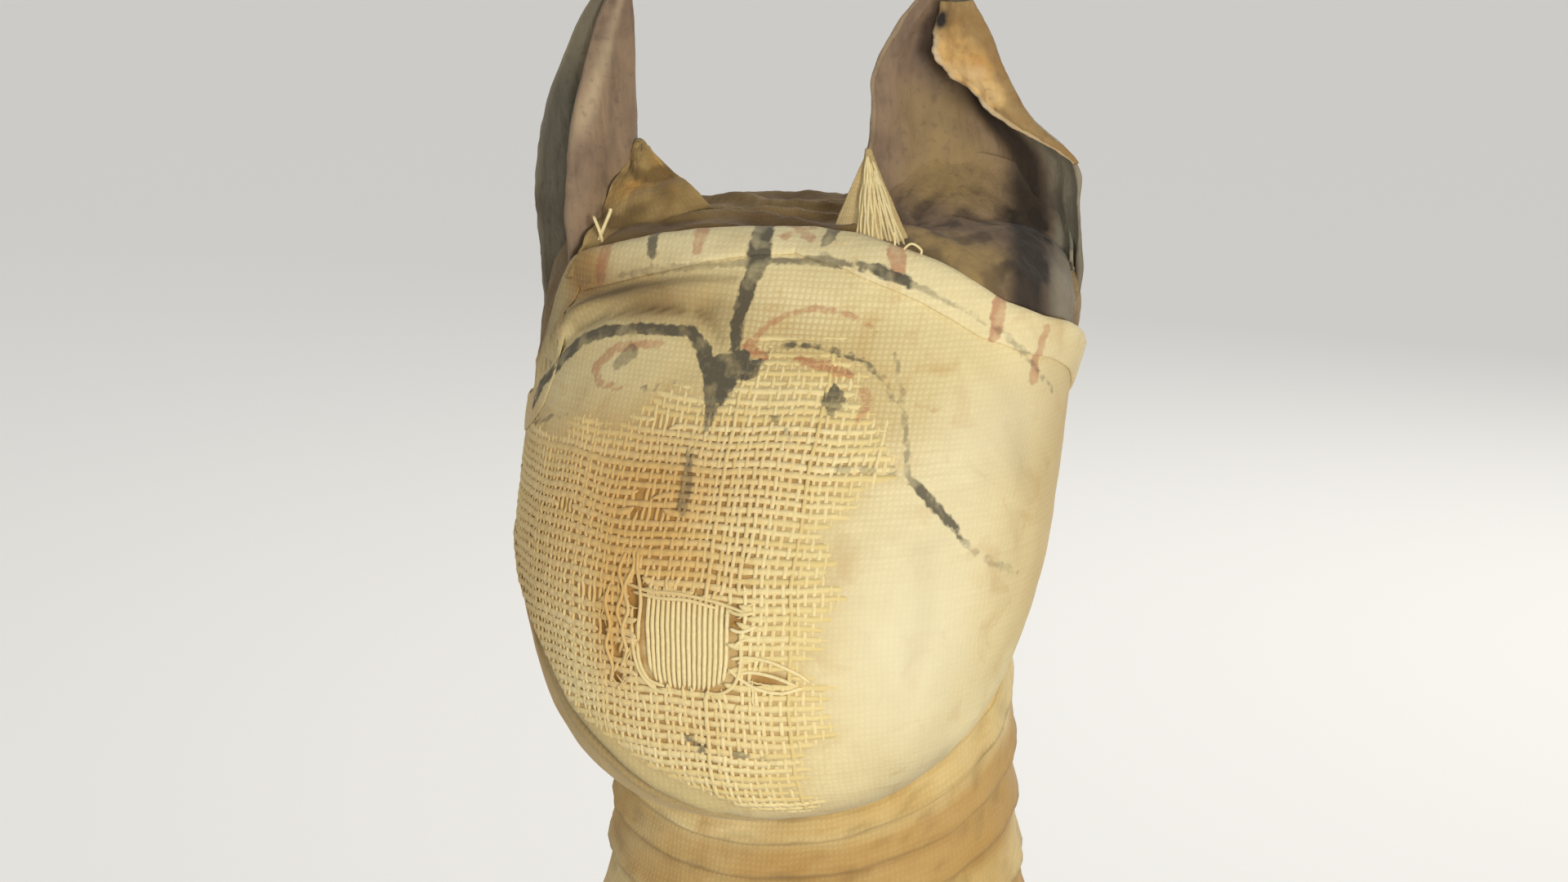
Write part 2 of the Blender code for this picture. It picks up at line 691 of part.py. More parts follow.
def inner_shroud(head_core):
    """The plain cloth under the bandages, a sleeve from the foot pad to the jaw."""
    rows = [body_ring(h, -SEAT) for h in body_levels()]
    bm = bmesh.new()
    skin_rows(bm, rows, True)
    outward_from_axis(bm)
    shroud = new_object("inner_shroud", bm, "linen_coarse")
    thicken(shroud, SHROUD_CLOTH, -1)
    combine(shroud, head_core)


def outward_from_axis(bm):
    """Turns an open sleeve's faces away from the body's axis."""
    bmesh.ops.recalc_face_normals(bm, faces=bm.faces)
    bm.normal_update()
    leaning = sum(f.calc_center_median().to_2d().dot(f.normal.to_2d()) for f in bm.faces)
    if leaning < 0:
        bmesh.ops.reverse_faces(bm, faces=bm.faces)


def wrap_height(turn, angle):
    """Height of a place in the winding, counted in turns from the foot."""
    share = turn / WRAP_TURNS
    low = FOOT_PAD_HEIGHT + SEAT
    even = share + WRAP_CROWDING * share * (1 - share)
    return low + (WRAP_TOP - low) * even - WRAP_RISE * share ** RISE_POWER * math.cos(angle)


def wrap_point(start, across, angle):
    """A point of the bandage's inner face: each turn lies on the one under it."""
    turn = min(max(start + across, 0), WRAP_TURNS)
    stand = WRAP_SEAT + (BANDAGE_CLOTH + WRAP_SEAT) * (WRAP_WIDTH - (turn - start))
    return body_point(wrap_height(turn, angle), angle, stand)


def bandage(name, first, last, finish, head_surface):
    """A strip wound round the body, from its first to its last turn; turns start at the back."""
    end_gap = 2 * math.pi * STRIP_GAP / (2 * math.pi * NECK[1])
    begin, end = round(first * BODY_SIDES), round(last * BODY_SIDES)
    rows = []
    for step in range(begin, end + 1):
        start = step / BODY_SIDES
        angle = math.pi + 2 * math.pi * (step % BODY_SIDES) / BODY_SIDES
        if step == end:
            angle -= end_gap
        low, high = max(0, -start), min(WRAP_WIDTH, WRAP_TURNS - start)
        rows.append([wrap_point(start, spot, angle) for spot in levels(low, high, WRAP_SPANS)])
    bm = bmesh.new()
    skin_rows(bm, rows, False)
    outward_from_axis(bm)
    strip = new_object(name, bm, finish)
    thicken(strip, BANDAGE_CLOTH, 1)
    if last >= WRAP_TURNS - TRIMMED_TURNS:
        combine(strip, head_surface)


def winding(head_surface):
    """All the strips, end to end up the body."""
    first = WRAP_START
    for name, last, finish in STRIPS:
        bandage(name, first, last, finish, head_surface)
        first = last


def foot_pad():
    """The folded pad under the foot end, with the flat face that the mummy stands on."""
    half_width, front, back = FOOT[1:]
    rows = []
    for share in levels(0, 1, FOOT_EDGE_ROWS):
        inset = FOOT_ROUNDING * (1 - math.sin(math.pi / 2 * share))
        height = FOOT_ROUNDING * (1 - math.cos(math.pi / 2 * share))
        rows.append(oval(0, height, half_width - inset, front - inset, back - inset, BODY_SIDES))
    rows.append(oval(0, FOOT_PAD_HEIGHT, half_width, front, back, BODY_SIDES))
    lofted("foot_pad", rows, "linen_coarse")


def packing(head_core, hollow, channel):
    """Linen and mud packing, in a front and a back half round the dried body."""
    inset = -(2 * SEAT + SHROUD_CLOTH)
    size = 4 * CHEST[1]
    for name, side in (("front_packing", -1), ("back_packing", 1)):
        half = lofted(name, [body_ring(h, inset) for h in body_levels()], "linen_coarse")
        middle = side * (size / 2 + PAD_GAP / 2)
        keep = block_cutter(name + "_keep", (size, size, 2 * size), (0, middle, size))
        combine(half, keep, "INTERSECT")
        for tool in (head_core, hollow, channel):
            combine(half, tool)


def block_cutter(name, size, centre):
    bm = bmesh.new()
    bmesh.ops.create_cube(bm, size=1)
    bmesh.ops.transform(
        bm, matrix=Matrix.Translation(centre) @ Matrix.Diagonal((*size, 1)), verts=bm.verts
    )
    return as_cutter(new_object(name, bm, None))


def body_hollow():
    """The hollow that the dried body leaves in the packing."""
    low, high = CAVITY_SHAPE[0][0], CAVITY_SHAPE[-1][0]
    rows = []
    for height in levels(low, high, 12):
        half_width, front, back = along(CAVITY_SHAPE, height)
        rows.append(oval(0, height, half_width, front, back, 20))
    return as_cutter(lofted("body_hollow", rows))


# Head packing and skull


def skull_spot(share, x, z):
    """A point beside the skull's axis, which slopes back and up from the nose."""
    slope = math.radians(SKULL_SLOPE)
    run = Vector((0, math.cos(slope), math.sin(slope)))
    up = Vector((0, -math.sin(slope), math.cos(slope)))
    return NOSE_TIP + run * share * SKULL_LENGTH + Vector((x, 0, 0)) + up * z


def skull_ring(share, half_width, over, under, sides):
    """A ring round the skull's axis, with its own height over and depth under it."""
    ring = []
    for a in angles(sides):
        reach = over if math.cos(a) > 0 else under
        ring.append(skull_spot(share, half_width * math.sin(a), reach * math.cos(a)))
    return ring


def skull_hollow():
    """The hollow in the head packing, a clearance wider than the skull and the jaw."""
    grown = SKULL_CLEARANCE
    jaw_depth = (JAW_DROP + JAW_HEIGHT) * JAW_HOLLOW
    first, last = SKULL_SHAPE[0], SKULL_SHAPE[-1]
    ends = ((-HOLLOW_END, *first[1:]), (1 + HOLLOW_END, *last[1:]))
    rows = []
    for share, half_width, over, under in [ends[0], *SKULL_SHAPE, ends[1]]:
        run = (share - ARCH_ROOM_START) / (ARCH_ROOM_END - ARCH_ROOM_START)
        arch = math.sin(math.pi * min(max(run, 0), 1)) ** 0.5
        reach = ARCH_REACH + ARCH_RADIUS + ARCH_ROOM
        wide = max(half_width, half_width + (reach - half_width) * arch)
        jaw = max(under, jaw_depth) if share < JAW_LENGTH + HOLLOW_JAW_END else under
        rows.append(skull_ring(share, wide + grown, over + grown, jaw + grown, SKULL_SIDES))
    return as_cutter(lofted("skull_hollow", rows))


def skull():
    """The skull, with its eye sockets and cheek arches."""
    rows = [skull_ring(share, *rest, SKULL_SIDES) for share, *rest in SKULL_SHAPE]
    bone = lofted("skull", rows, "bone")
    for side, label in ((1, "left"), (-1, "right")):
        arch = []
        for run in levels(0, 1, ARCH_ROWS):
            share = ARCH_START + (ARCH_END - ARCH_START) * run
            root = along(SKULL_SHAPE, share)[0] - ARCH_ROOT
            reach = root + (ARCH_REACH - root) * math.sin(math.pi * run)
            arch.append((*skull_spot(share, side * reach, -ARCH_FALL), ARCH_RADIUS))
        combine(bone, as_cutter(swept(label + "_cheek_arch", arch, LIMB_SIDES)), "UNION")
        bm = bmesh.new()
        bmesh.ops.create_uvsphere(bm, u_segments=10, v_segments=6, radius=EYE_RADIUS)
        centre = skull_spot(EYE_SHARE, side * EYE_SPREAD, EYE_RISE)
        bmesh.ops.translate(bm, vec=centre, verts=bm.verts)
        combine(bone, as_cutter(new_object(label + "_eye_socket", bm, None)))


def lower_jaw():
    """The jaw bone: two branches that meet at the chin, under the skull."""
    top, low = -JAW_DROP, -JAW_DROP - JAW_HEIGHT
    rows = []
    for run in levels(-1, 1, JAW_ROWS):
        share = JAW_FRONT + (JAW_LENGTH - JAW_FRONT) * abs(run) ** 1.6
        x = JAW_SPREAD * math.copysign(abs(run) ** 0.8, run)
        inner_x = x - JAW_THICKNESS * run
        inner_share = share + JAW_THICKNESS * (1 - abs(run)) / SKULL_LENGTH
        rise = JAW_HINGE_RISE * run ** 8
        rows.append(
            [
                skull_spot(share, x, top + rise),
                skull_spot(share, x, low),
                skull_spot(inner_share, inner_x, low),
                skull_spot(inner_share, inner_x, top + rise),
            ]
        )
    lofted("lower_jaw", rows, "bone")


def head_pads(head_inner, hollow, channel):
    """Three wads of linen that fill the mask out round the skull."""
    size = 4 * HEAD_HALF_WIDTH
    middle = CHIN_HEIGHT + HEAD_HEIGHT / 2
    front = FACE_PAD_BACK - PAD_GAP / 2 - size / 2
    back = FACE_PAD_BACK + PAD_GAP / 2 + size / 2
    side = PAD_GAP / 2 + size / 2
    places = [
        ("face_pad", (0, front, middle)),
        ("left_head_pad", (side, back, middle)),
        ("right_head_pad", (-side, back, middle)),
    ]
    for name, centre in places:
        pad = new_object(name, head_bmesh(-(MASK_CLOTH + SEAT)), "linen_coarse")
        keep = block_cutter(name + "_keep", (size, size, size), centre)
        combine(pad, keep, "INTERSECT")
        combine(pad, hollow)
        if name != "face_pad":
            combine(pad, channel)


# Dried body


def spine_route():
    """The neck's bones, from the shoulders up to the back of the skull."""
    top = skull_spot(SPINE_TOP_SHARE, 0, -SPINE_TOP_DROP)
    foot = Vector((0, SPINE_FOOT_BACK, TRUNK_SHAPE[-1][0] + SPINE_FOOT_GAP))
    return [foot, foot.lerp(top, 0.5) + Vector((0, SPINE_BOW, 0)), top]


def neck_spine():
    """Seven neck bones on one dried stem, and the channel that the packing leaves."""
    route = [(*spot, SPINE_RADIUS) for spot in spine_route()]
    steps = 2 * NECK_BONES
    bones = []
    for i, (x, y, z, radius) in enumerate(smooth_path(route, steps)):
        bones.append((x, y, z, radius * (SPINE_WAIST if i % 2 else 1)))
    swept("neck_bones", bones, LIMB_SIDES, "bone")
    wide = [[x, y, z, r + SPINE_CLEARANCE] for x, y, z, r in smooth_path(route, steps)]
    wide[0][2] -= SPINE_RADIUS
    wide[-1][2] += SPINE_RADIUS
    return as_cutter(swept("spine_channel", wide, TRUNK_SIDES))


def trunk():
    """The dried trunk, with its ribs showing under the skin."""
    low, high = TRUNK_SHAPE[0][0], TRUNK_SHAPE[-1][0]
    pitch = (RIB_HIGH - RIB_LOW) / RIBS / 2
    heights = levels(low, RIB_LOW, 7)[:-1]
    heights += levels(RIB_LOW, RIB_HIGH, 2 * RIBS)
    heights += levels(RIB_HIGH, high, 3)[1:]
    rows = []
    for height in heights:
        half_width, front, back = along(TRUNK_SHAPE, height)
        place = (height - RIB_LOW) / pitch
        sunk = RIB_DEPTH if 0 < place < 2 * RIBS and round(place) % 2 else 0
        rows.append(
            oval(0, height, half_width - sunk, front - sunk, back - 0.3 * sunk, TRUNK_SIDES)
        )
    lofted("trunk", rows, "dried_flesh")


def limb(name, route, steps, side=1):
    """One limb through its route; side -1 mirrors it to the animal's right."""
    points = [(side * x, y, z, radius) for x, y, z, radius in route]
    return swept(name, smooth_path(points, steps), LIMB_SIDES, "dried_flesh")


def limbs():
    """The forelegs laid down the belly, the folded hind legs and the tail between them."""
    for side, label in ((1, "left"), (-1, "right")):
        limb(label + "_foreleg", FORELEG, 10, side)
        limb(label + "_hind_leg", HIND_LEG, 14, side)
    limb("tail", TAIL, 16)


def clear_scene():
    for obj in list(bpy.data.objects):
        bpy.data.objects.remove(obj, do_unlink=True)


def build():
    clear_scene()
    head_surface = head_cutter("head_surface", SEAT)
    head_core = head_cutter("head_core", -MASK_CLOTH)
    below_hem = below_hem_cutter()
    neck_column = neck_column_cutter()
    channel = neck_spine()
    hollow = skull_hollow()
    left_ear = (LEFT_EAR, LEFT_EAR_TURN, LEFT_EAR_SKEW)
    right_ear = (RIGHT_EAR, RIGHT_EAR_TURN, RIGHT_EAR_SKEW)
    face_mask(neck_column)
    brow_hem()
    left_socket = ear_socket("left_ear_socket", *left_ear, whole=False)
    right_socket = ear_socket("right_ear_socket", *right_ear, whole=True)
    crown_cloth([left_socket, right_socket])
    ear("left", *left_ear, head_core, head_surface, below_hem)
    ear("right", *right_ear, head_core, head_core, below_hem)
    ear_flap()
    ear_collar("left_ear_collar", LEFT_COLLAR, "linen_cream", [head_surface, below_hem])
    ear_collar("right_ear_collar", RIGHT_COLLAR, "linen_amber", [head_surface, below_hem])
    winding(head_surface)
    inner_shroud(head_core)
    foot_pad()
    packing(head_core, body_hollow(), channel)
    head_pads(head_core, hollow, channel)
    skull()
    lower_jaw()
    trunk()
    limbs()


build()
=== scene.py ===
"""Looks for a wrapped cat mummy: painted linen face, open weave, dried ears and bandages.

Metres, +Z up. The painted face looks along -Y, and the animal's own left is +X.
"""

import math

import bmesh
import bpy
import numpy as np
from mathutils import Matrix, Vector, noise
from mathutils.bvhtree import BVHTree


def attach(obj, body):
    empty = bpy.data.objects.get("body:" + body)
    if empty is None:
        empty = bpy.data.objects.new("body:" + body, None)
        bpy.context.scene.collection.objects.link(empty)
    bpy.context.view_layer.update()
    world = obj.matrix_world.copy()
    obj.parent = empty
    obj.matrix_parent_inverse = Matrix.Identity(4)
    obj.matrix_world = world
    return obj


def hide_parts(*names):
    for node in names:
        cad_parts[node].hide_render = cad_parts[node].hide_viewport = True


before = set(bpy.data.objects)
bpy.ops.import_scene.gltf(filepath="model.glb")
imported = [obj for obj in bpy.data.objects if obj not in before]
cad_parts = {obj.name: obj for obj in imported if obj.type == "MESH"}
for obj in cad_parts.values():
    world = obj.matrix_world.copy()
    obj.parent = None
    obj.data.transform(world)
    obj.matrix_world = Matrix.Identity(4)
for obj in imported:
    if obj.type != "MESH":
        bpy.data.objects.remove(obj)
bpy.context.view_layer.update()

MM = 0.001
SEED = 27

# Head, as the solids have it: chin to crown, shares of the four sizes
CHIN_HEIGHT = 300 * MM
HEAD_HEIGHT = 98.5 * MM
HEAD_HALF_WIDTH = 47.4 * MM
MUZZLE_REACH = 53.5 * MM
HEAD_BACK = 36.5 * MM
HEAD_SHAPE = [
    (0.000, 0.000, 0.450, -0.660),
    (0.015, 0.332, 0.710, -0.250),
    (0.061, 0.566, 0.860, 0.080),
    (0.152, 0.762, 0.955, 0.410),
    (0.284, 0.885, 1.000, 0.660),
    (0.426, 0.956, 0.990, 0.820),
    (0.579, 0.981, 0.870, 0.930),
    (0.731, 0.992, 0.700, 0.985),
    (0.853, 1.000, 0.551, 1.000),
    (0.939, 0.930, 0.458, 0.930),
    (0.983, 0.735, 0.350, 0.770),
    (0.997, 0.400, 0.150, 0.500),
    (1.000, 0.000, -0.100, 0.150),
]
LAST_ROW = len(HEAD_SHAPE) - 1
CROWN = CHIN_HEIGHT + HEAD_HEIGHT

# The mask's upper edge: degrees round the head and the row of HEAD_SHAPE it runs on.
# On the animal's right it turns down along the cheek.
HEM_LINE = [
    (-180, 6.25),
    (-130, 6.45),
    (-95, 6.55),
    (-72, 6.60),
    (-62, 6.75),
    (-59.3, 6.95),
    (-57.2, 7.60),
    (-56.2, 8.30),
    (-54.5, 8.72),
    (-40.6, 9.12),
    (-29.3, 9.57),
    (-16.9, 9.95),
    (-2.9, 10.20),
    (13.0, 10.30),
    (28.0, 10.00),
    (33.8, 9.65),
    (40.4, 9.30),
    (47.5, 8.85),
    (56.6, 8.36),
    (70.0, 8.02),
    (81.7, 7.86),
    (100, 7.50),
    (130, 6.80),
    (180, 6.25),
]

# Body: height, half width, reach to the front and to the back
BODY_SHAPE = [
    (12 * MM, 34 * MM, 31 * MM, 33 * MM),
    (52 * MM, 41 * MM, 38 * MM, 39 * MM),
    (110 * MM, 48 * MM, 45 * MM, 44 * MM),
    (190 * MM, 50.5 * MM, 47 * MM, 46 * MM),
    (238 * MM, 45 * MM, 38.5 * MM, 43 * MM),
    (CHIN_HEIGHT - 32 * MM, 36.5 * MM, 26 * MM, 38 * MM),
    (CHIN_HEIGHT - 5 * MM, 33 * MM, 22 * MM, 34 * MM),
    (CHIN_HEIGHT + 27 * MM, 32.5 * MM, 21 * MM, 31.5 * MM),
    (CHIN_HEIGHT + 62 * MM, 32.5 * MM, 21 * MM, 31 * MM),
]

# Winding
WRAP_FOOT = 12.3 * MM
WRAP_TOP = CHIN_HEIGHT + 0.223 * HEAD_HEIGHT  # at the jaw's sides
WRAP_RISE = 0.228 * HEAD_HEIGHT  # the last turn lies this much higher at the nape
WRAP_TURNS = 22.0
WRAP_CROWDING = 0.42  # how much closer the turns lie at the neck than halfway up
RISE_POWER = 5  # the climb fades out below the neck with this power
WRAP_WIDTH = 1.25  # width of the bandage, in turns
WRAP_START = -1
WRAP_END = WRAP_TURNS - 0.25

# Ears: height above the crown, centre x, centre y, half width across, cup depth
LEFT_EAR = [
    (-32.5 * MM, 28.5 * MM, 5.0 * MM, 16.5 * MM, 10.5 * MM),
    (-13.5 * MM, 29.2 * MM, 4.6 * MM, 16.7 * MM, 11.5 * MM),
    (1.5 * MM, 28.9 * MM, 4.7 * MM, 17.0 * MM, 10.5 * MM),
    (9.5 * MM, 28.2 * MM, 5.8 * MM, 16.6 * MM, 9.1 * MM),
    (16.5 * MM, 24.4 * MM, 6.3 * MM, 12.4 * MM, 7.5 * MM),
    (24.5 * MM, 21.8 * MM, 6.9 * MM, 10.0 * MM, 5.4 * MM),
    (31.5 * MM, 21.9 * MM, 7.8 * MM, 6.6 * MM, 3.4 * MM),
    (38.5 * MM, 22.3 * MM, 8.5 * MM, 2.2 * MM, 1.2 * MM),
]
RIGHT_EAR = [
    (-32.5 * MM, -42.3 * MM, -4.5 * MM, 8.3 * MM, 13.5 * MM),
    (-13.5 * MM, -44.2 * MM, -4.5 * MM, 8.8 * MM, 15.7 * MM),
    (1.5 * MM, -44.9 * MM, -5.5 * MM, 9.0 * MM, 16.0 * MM),
    (16.5 * MM, -43.2 * MM, -4.5 * MM, 7.6 * MM, 12.6 * MM),
    (29.5 * MM, -39.6 * MM, -2.5 * MM, 4.6 * MM, 8.0 * MM),
    (38.5 * MM, -36.0 * MM, 1.0 * MM, 1.8 * MM, 2.6 * MM),
]
LEFT_EAR_TURN = 12  # degrees that the ear opens away from the front, towards +X
RIGHT_EAR_TURN = -52
LEFT_EAR_SKEW = 0.45  # how much deeper the cup is towards its outer rim
RIGHT_EAR_SKEW = 0.0
LEFT_CUP = (LEFT_EAR, LEFT_EAR_TURN, LEFT_EAR_SKEW)
RIGHT_CUP = (RIGHT_EAR, RIGHT_EAR_TURN, RIGHT_EAR_SKEW)
EAR_HIDE = 1.3 * MM
EAR_LINING = 1.3 * MM


# Shapes that the solids share


def profile(stations, places):
    """Values of a table's rows at places in its first column, on smooth curves."""
    table = np.array(stations, float)
    at, values = table[:, 0], table[:, 1:]
    index = np.arange(len(at))
    before, after = np.maximum(index - 1, 0), np.minimum(index + 1, len(at) - 1)
    slopes = (values[after] - values[before]) / (at[after] - at[before])[:, None]
    flat = np.clip(np.ravel(places), at[0], at[-1])
    row = np.clip(np.searchsorted(at, flat, side="right") - 1, 0, len(at) - 2)
    span = (at[row + 1] - at[row])[:, None]
    share = (flat - at[row])[:, None] / span
    low, high = values[row], values[row + 1]
    rise, run = slopes[row] * span, slopes[row + 1] * span
    curve = (2 * low - 2 * high + rise + run) * share**3
    curve += (3 * high - 3 * low - 2 * rise - run) * share**2
    curve += rise * share + low
    return [column.reshape(np.shape(places)) for column in curve.T]


HEAD_TABLE = [(i, *row) for i, row in enumerate(HEAD_SHAPE)]


def bare_head(rows, angles):
    """Points of the head's surface; the angle runs from the front towards +X."""
    rows, angles = np.broadcast_arrays(np.asarray(rows, float), np.asarray(angles, float))
    height, width, front, back = profile(HEAD_TABLE, rows)
    front, back = front * MUZZLE_REACH, back * HEAD_BACK
    middle, depth = (back - front) / 2, (back + front) / 2
    x = width * HEAD_HALF_WIDTH * np.sin(angles)
    y = middle - depth * np.cos(angles)
    return np.stack([x, y, CHIN_HEIGHT + height * HEAD_HEIGHT], axis=-1)


def unit(vectors):
    return vectors / np.maximum(np.linalg.norm(vectors, axis=-1, keepdims=True), 1e-12)


def head_frame(rows, angles):
    """Points of the head's surface, and the surface's outward normals there."""
    rows, angles = np.broadcast_arrays(np.asarray(rows, float), np.asarray(angles, float))
    step = 0.02
    inner = np.clip(rows, 2 * step, LAST_ROW - 2 * step)
    up = bare_head(inner + step, angles) - bare_head(inner - step, angles)
    around = bare_head(inner, angles + step) - bare_head(inner, angles - step)
    return bare_head(rows, angles), unit(np.cross(around, up))


def hem_rows(angles):
    """The head's rows that the mask's upper edge runs on."""
    degrees, rows = np.array(HEM_LINE).T
    spots = np.degrees(angles)
    softening = (-1.5, -0.75, 0, 0.75, 1.5)  # degrees
    softened = [np.interp(spots + shift, degrees, rows, period=360) for shift in softening]
    return sum(softened) / len(softening)


def body_frame(heights, angles):
    """Points of the body's side and its level outward directions."""
    heights, angles = np.broadcast_arrays(heights, angles)
    half_width, front, back = profile(BODY_SHAPE, heights)
    middle, depth = (back - front) / 2, (back + front) / 2
    x, y = half_width * np.sin(angles), middle - depth * np.cos(angles)
    out = np.stack([np.sin(angles) / half_width, -np.cos(angles) / depth, 0 * x], axis=-1)
    return np.stack([x, y, heights], axis=-1), unit(out)


def ear_directions(turn):
    """Level directions across an ear's cup and out of its opening."""
    angle = math.radians(turn)
    across = np.array([math.cos(angle), math.sin(angle), 0])
    opening = np.array([math.sin(angle), -math.cos(angle), 0])
    return across, opening


def ear_frame(table, turn, skew, share, around, inset):
    """Points of an ear's cup and their outward directions; around runs from -1 to 1."""
    share, around = np.broadcast_arrays(np.asarray(share, float), np.asarray(around, float))
    height = table[0][0] + (table[-1][0] - table[0][0]) * share
    x, y, half, depth = profile(table, height)
    across, opening = ear_directions(turn)
    bend = math.pi / 2 * around
    deep = np.maximum(depth - inset, 0) * np.cos(bend) * (1 + skew * np.sin(bend))
    wide = np.maximum(half - inset, 0) * np.sin(bend)
    points = np.stack([x, y, CROWN + height], axis=-1)
    points = points + across * wide[..., None] - opening * deep[..., None]
    lean_across, lean_back = np.sin(bend) / half, np.cos(bend) / depth
    outward = across * lean_across[..., None] - opening * lean_back[..., None]
    return points, unit(outward)


# The face cloth's own measure: across (u) and up (v) from the chin's middle, in metres

MEASURE_ROWS = 480
MEASURE_ANGLES = 361
measure_rows = np.linspace(0, LAST_ROW, MEASURE_ROWS + 1)
measure_angles = np.linspace(-math.pi, math.pi, MEASURE_ANGLES)
measure_grid = bare_head(measure_rows[:, None], measure_angles[None, :])
middle_column = MEASURE_ANGLES // 2
around_steps = np.linalg.norm(np.diff(measure_grid, axis=1), axis=-1)
around_sums = around_steps.cumsum(axis=1)
around_table = np.concatenate([np.zeros((MEASURE_ROWS + 1, 1)), around_sums], axis=1)
around_table -= around_table[:, middle_column : middle_column + 1]
up_steps = np.linalg.norm(np.diff(measure_grid[:, middle_column], axis=0), axis=-1)
up_table = np.concatenate([[0], up_steps.cumsum()])


def cloth_place(rows, angles):
    """Across and up on the face cloth of places on the head."""
    rows, angles = np.broadcast_arrays(rows, angles)
    up = np.interp(rows, measure_rows, up_table)
    line = np.clip(np.rint(rows / LAST_ROW * MEASURE_ROWS), 0, MEASURE_ROWS).astype(int)
    spot = (angles + math.pi) / (2 * math.pi) * (MEASURE_ANGLES - 1)
    low = np.clip(np.floor(spot), 0, MEASURE_ANGLES - 2).astype(int)
    share = spot - low
    across = around_table[line, low] * (1 - share) + around_table[line, low + 1] * share
    return across, up


def head_place(across, up):
    """Row and angle on the head of places on the face cloth."""
    across, up = np.broadcast_arrays(np.asarray(across, float), np.asarray(up, float))
    rows = np.interp(up, up_table, measure_rows)
    lines = np.clip(np.rint(rows / LAST_ROW * MEASURE_ROWS), 1, MEASURE_ROWS - 1).astype(int)
    angles = np.empty(across.shape)
    for line in np.unique(lines):
        here = lines == line
        angles[here] = np.interp(across[here], around_table[line], measure_angles)
    return rows, angles


# Nodes

# a colour mix's sockets: the second colour's share, and the two colours
SHARE, FIRST, SECOND = 0, 6, 7
COLOURS = {"data_type": "RGBA"}
DARKENING = {"data_type": "RGBA", "blend_type": "MULTIPLY"}
MULTIPLY = {"operation": "MULTIPLY"}
MULTIPLY_ADD = {"operation": "MULTIPLY_ADD"}
MAXIMUM = {"operation": "MAXIMUM"}


def linear(hex_colour):
    """An sRGB hex colour as linear values."""
    channels = [int(hex_colour[i : i + 2], 16) / 255 for i in (1, 3, 5)]
    return [c / 12.92 if c <= 0.04045 else ((c + 0.055) / 1.055) ** 2.4 for c in channels] + [1]


def add_node(tree, kind, settings=None, links=None):
    """Adds a shader node; links gives a value, a colour or another node's socket for each input."""
    node = tree.nodes.new("ShaderNode" + kind)
    for name, value in (settings or {}).items():
        setattr(node, name, value)
    for name, value in (links or {}).items():
        socket = node.inputs[name]
        if isinstance(value, bpy.types.NodeSocket):
            tree.links.new(value, socket)
        elif isinstance(value, bpy.types.Node):
            tree.links.new(first_output(value), socket)
        elif isinstance(value, str):
            socket.default_value = linear(value)
        else:
            socket.default_value = value
    return node


def first_output(node):
    """The result that a node gives: the first socket in use."""
    return next(socket for socket in node.outputs if socket.enabled)


# Camera and light

CAMERA_TURN = 20  # degrees towards the animal's own left
CAMERA_RISE = 12
CAMERA_DISTANCE = 727 * MM
CAMERA_LENS = 100  # mm, over a frame 36 mm wide
LOOK_AT = (5.5 * MM, -25 * MM, 364 * MM)
LAMPS_FACE = (0, 0, 330 * MM)
# name, place, size, watts and colour
LAMPS = [
    ("key_light", (1.1, -1.25, 0.45), 0.5, 18, (1.0, 0.97, 0.92)),
    ("fill_light", (-1.5, -0.9, 0.9), 1.2, 4.2, (0.98, 0.98, 1.0)),
    ("back_light", (0.2, 1.5, 1.0), 1.2, 9, (1.0, 0.98, 0.96)),
]
SURROUND_LIGHT = 0.46  # what the pale surround gives
SURROUND_SEEN = 0.9  # and what it looks like
FLOOR_SIZE = 16
FLOOR_GLOW = 0.32


def add_camera():
    turn, rise = math.radians(CAMERA_TURN), math.radians(CAMERA_RISE)
    level = math.cos(rise)
    away = Vector((math.sin(turn) * level, -math.cos(turn) * level, math.sin(rise)))
    camera_data = bpy.data.cameras.new("camera")
    camera_data.lens = CAMERA_LENS
    camera_data.sensor_width = 36
    camera_data.clip_start = 0.01
    camera = bpy.data.objects.new("camera", camera_data)
    bpy.context.scene.collection.objects.link(camera)
    camera.location = Vector(LOOK_AT) + away * CAMERA_DISTANCE
    camera.rotation_euler = away.to_track_quat("Z", "Y").to_euler()
    bpy.context.scene.camera = camera


def add_lamp(name, place, size, watts, colour):
    """A square soft box that faces the head."""
    lamp_data = bpy.data.lights.new(name, "AREA")
    lamp_data.size = size
    lamp_data.energy = watts
    lamp_data.color = colour
    lamp = bpy.data.objects.new(name, lamp_data)
    bpy.context.scene.collection.objects.link(lamp)
    lamp.location = place
    towards = Vector(place) - Vector(LAMPS_FACE)
    lamp.rotation_euler = towards.to_track_quat("Z", "Y").to_euler()


def add_studio():
    """A pale floor, three soft boxes and an even pale surround."""
    for lamp in LAMPS:
        add_lamp(*lamp)
    world = bpy.data.worlds.new("studio")
    bpy.context.scene.world = world
    world.use_nodes = True
    tree = world.node_tree
    background = tree.nodes["Background"]
    background.inputs["Color"].default_value = (0.86, 0.86, 0.86, 1)
    seen = add_node(tree, "LightPath").outputs
    bright = add_node(tree, "Math", MAXIMUM, {0: seen["Is Camera Ray"], 1: seen["Is Glossy Ray"]})
    bright = add_node(tree, "Math", MAXIMUM, {0: bright, 1: seen["Is Transmission Ray"]})
    span = {"To Min": SURROUND_LIGHT, "To Max": SURROUND_SEEN}
    strength = add_node(tree, "MapRange", {}, {"Value": bright, **span})
    tree.links.new(first_output(strength), background.inputs["Strength"])
    deselect()
    bpy.ops.mesh.primitive_grid_add(x_subdivisions=8, y_subdivisions=8, size=FLOOR_SIZE)
    floor = bpy.context.object
    floor.name = "floor"
    floor.data.materials.append(pale_floor())
    bpy.context.scene.view_settings.view_transform = "Standard"


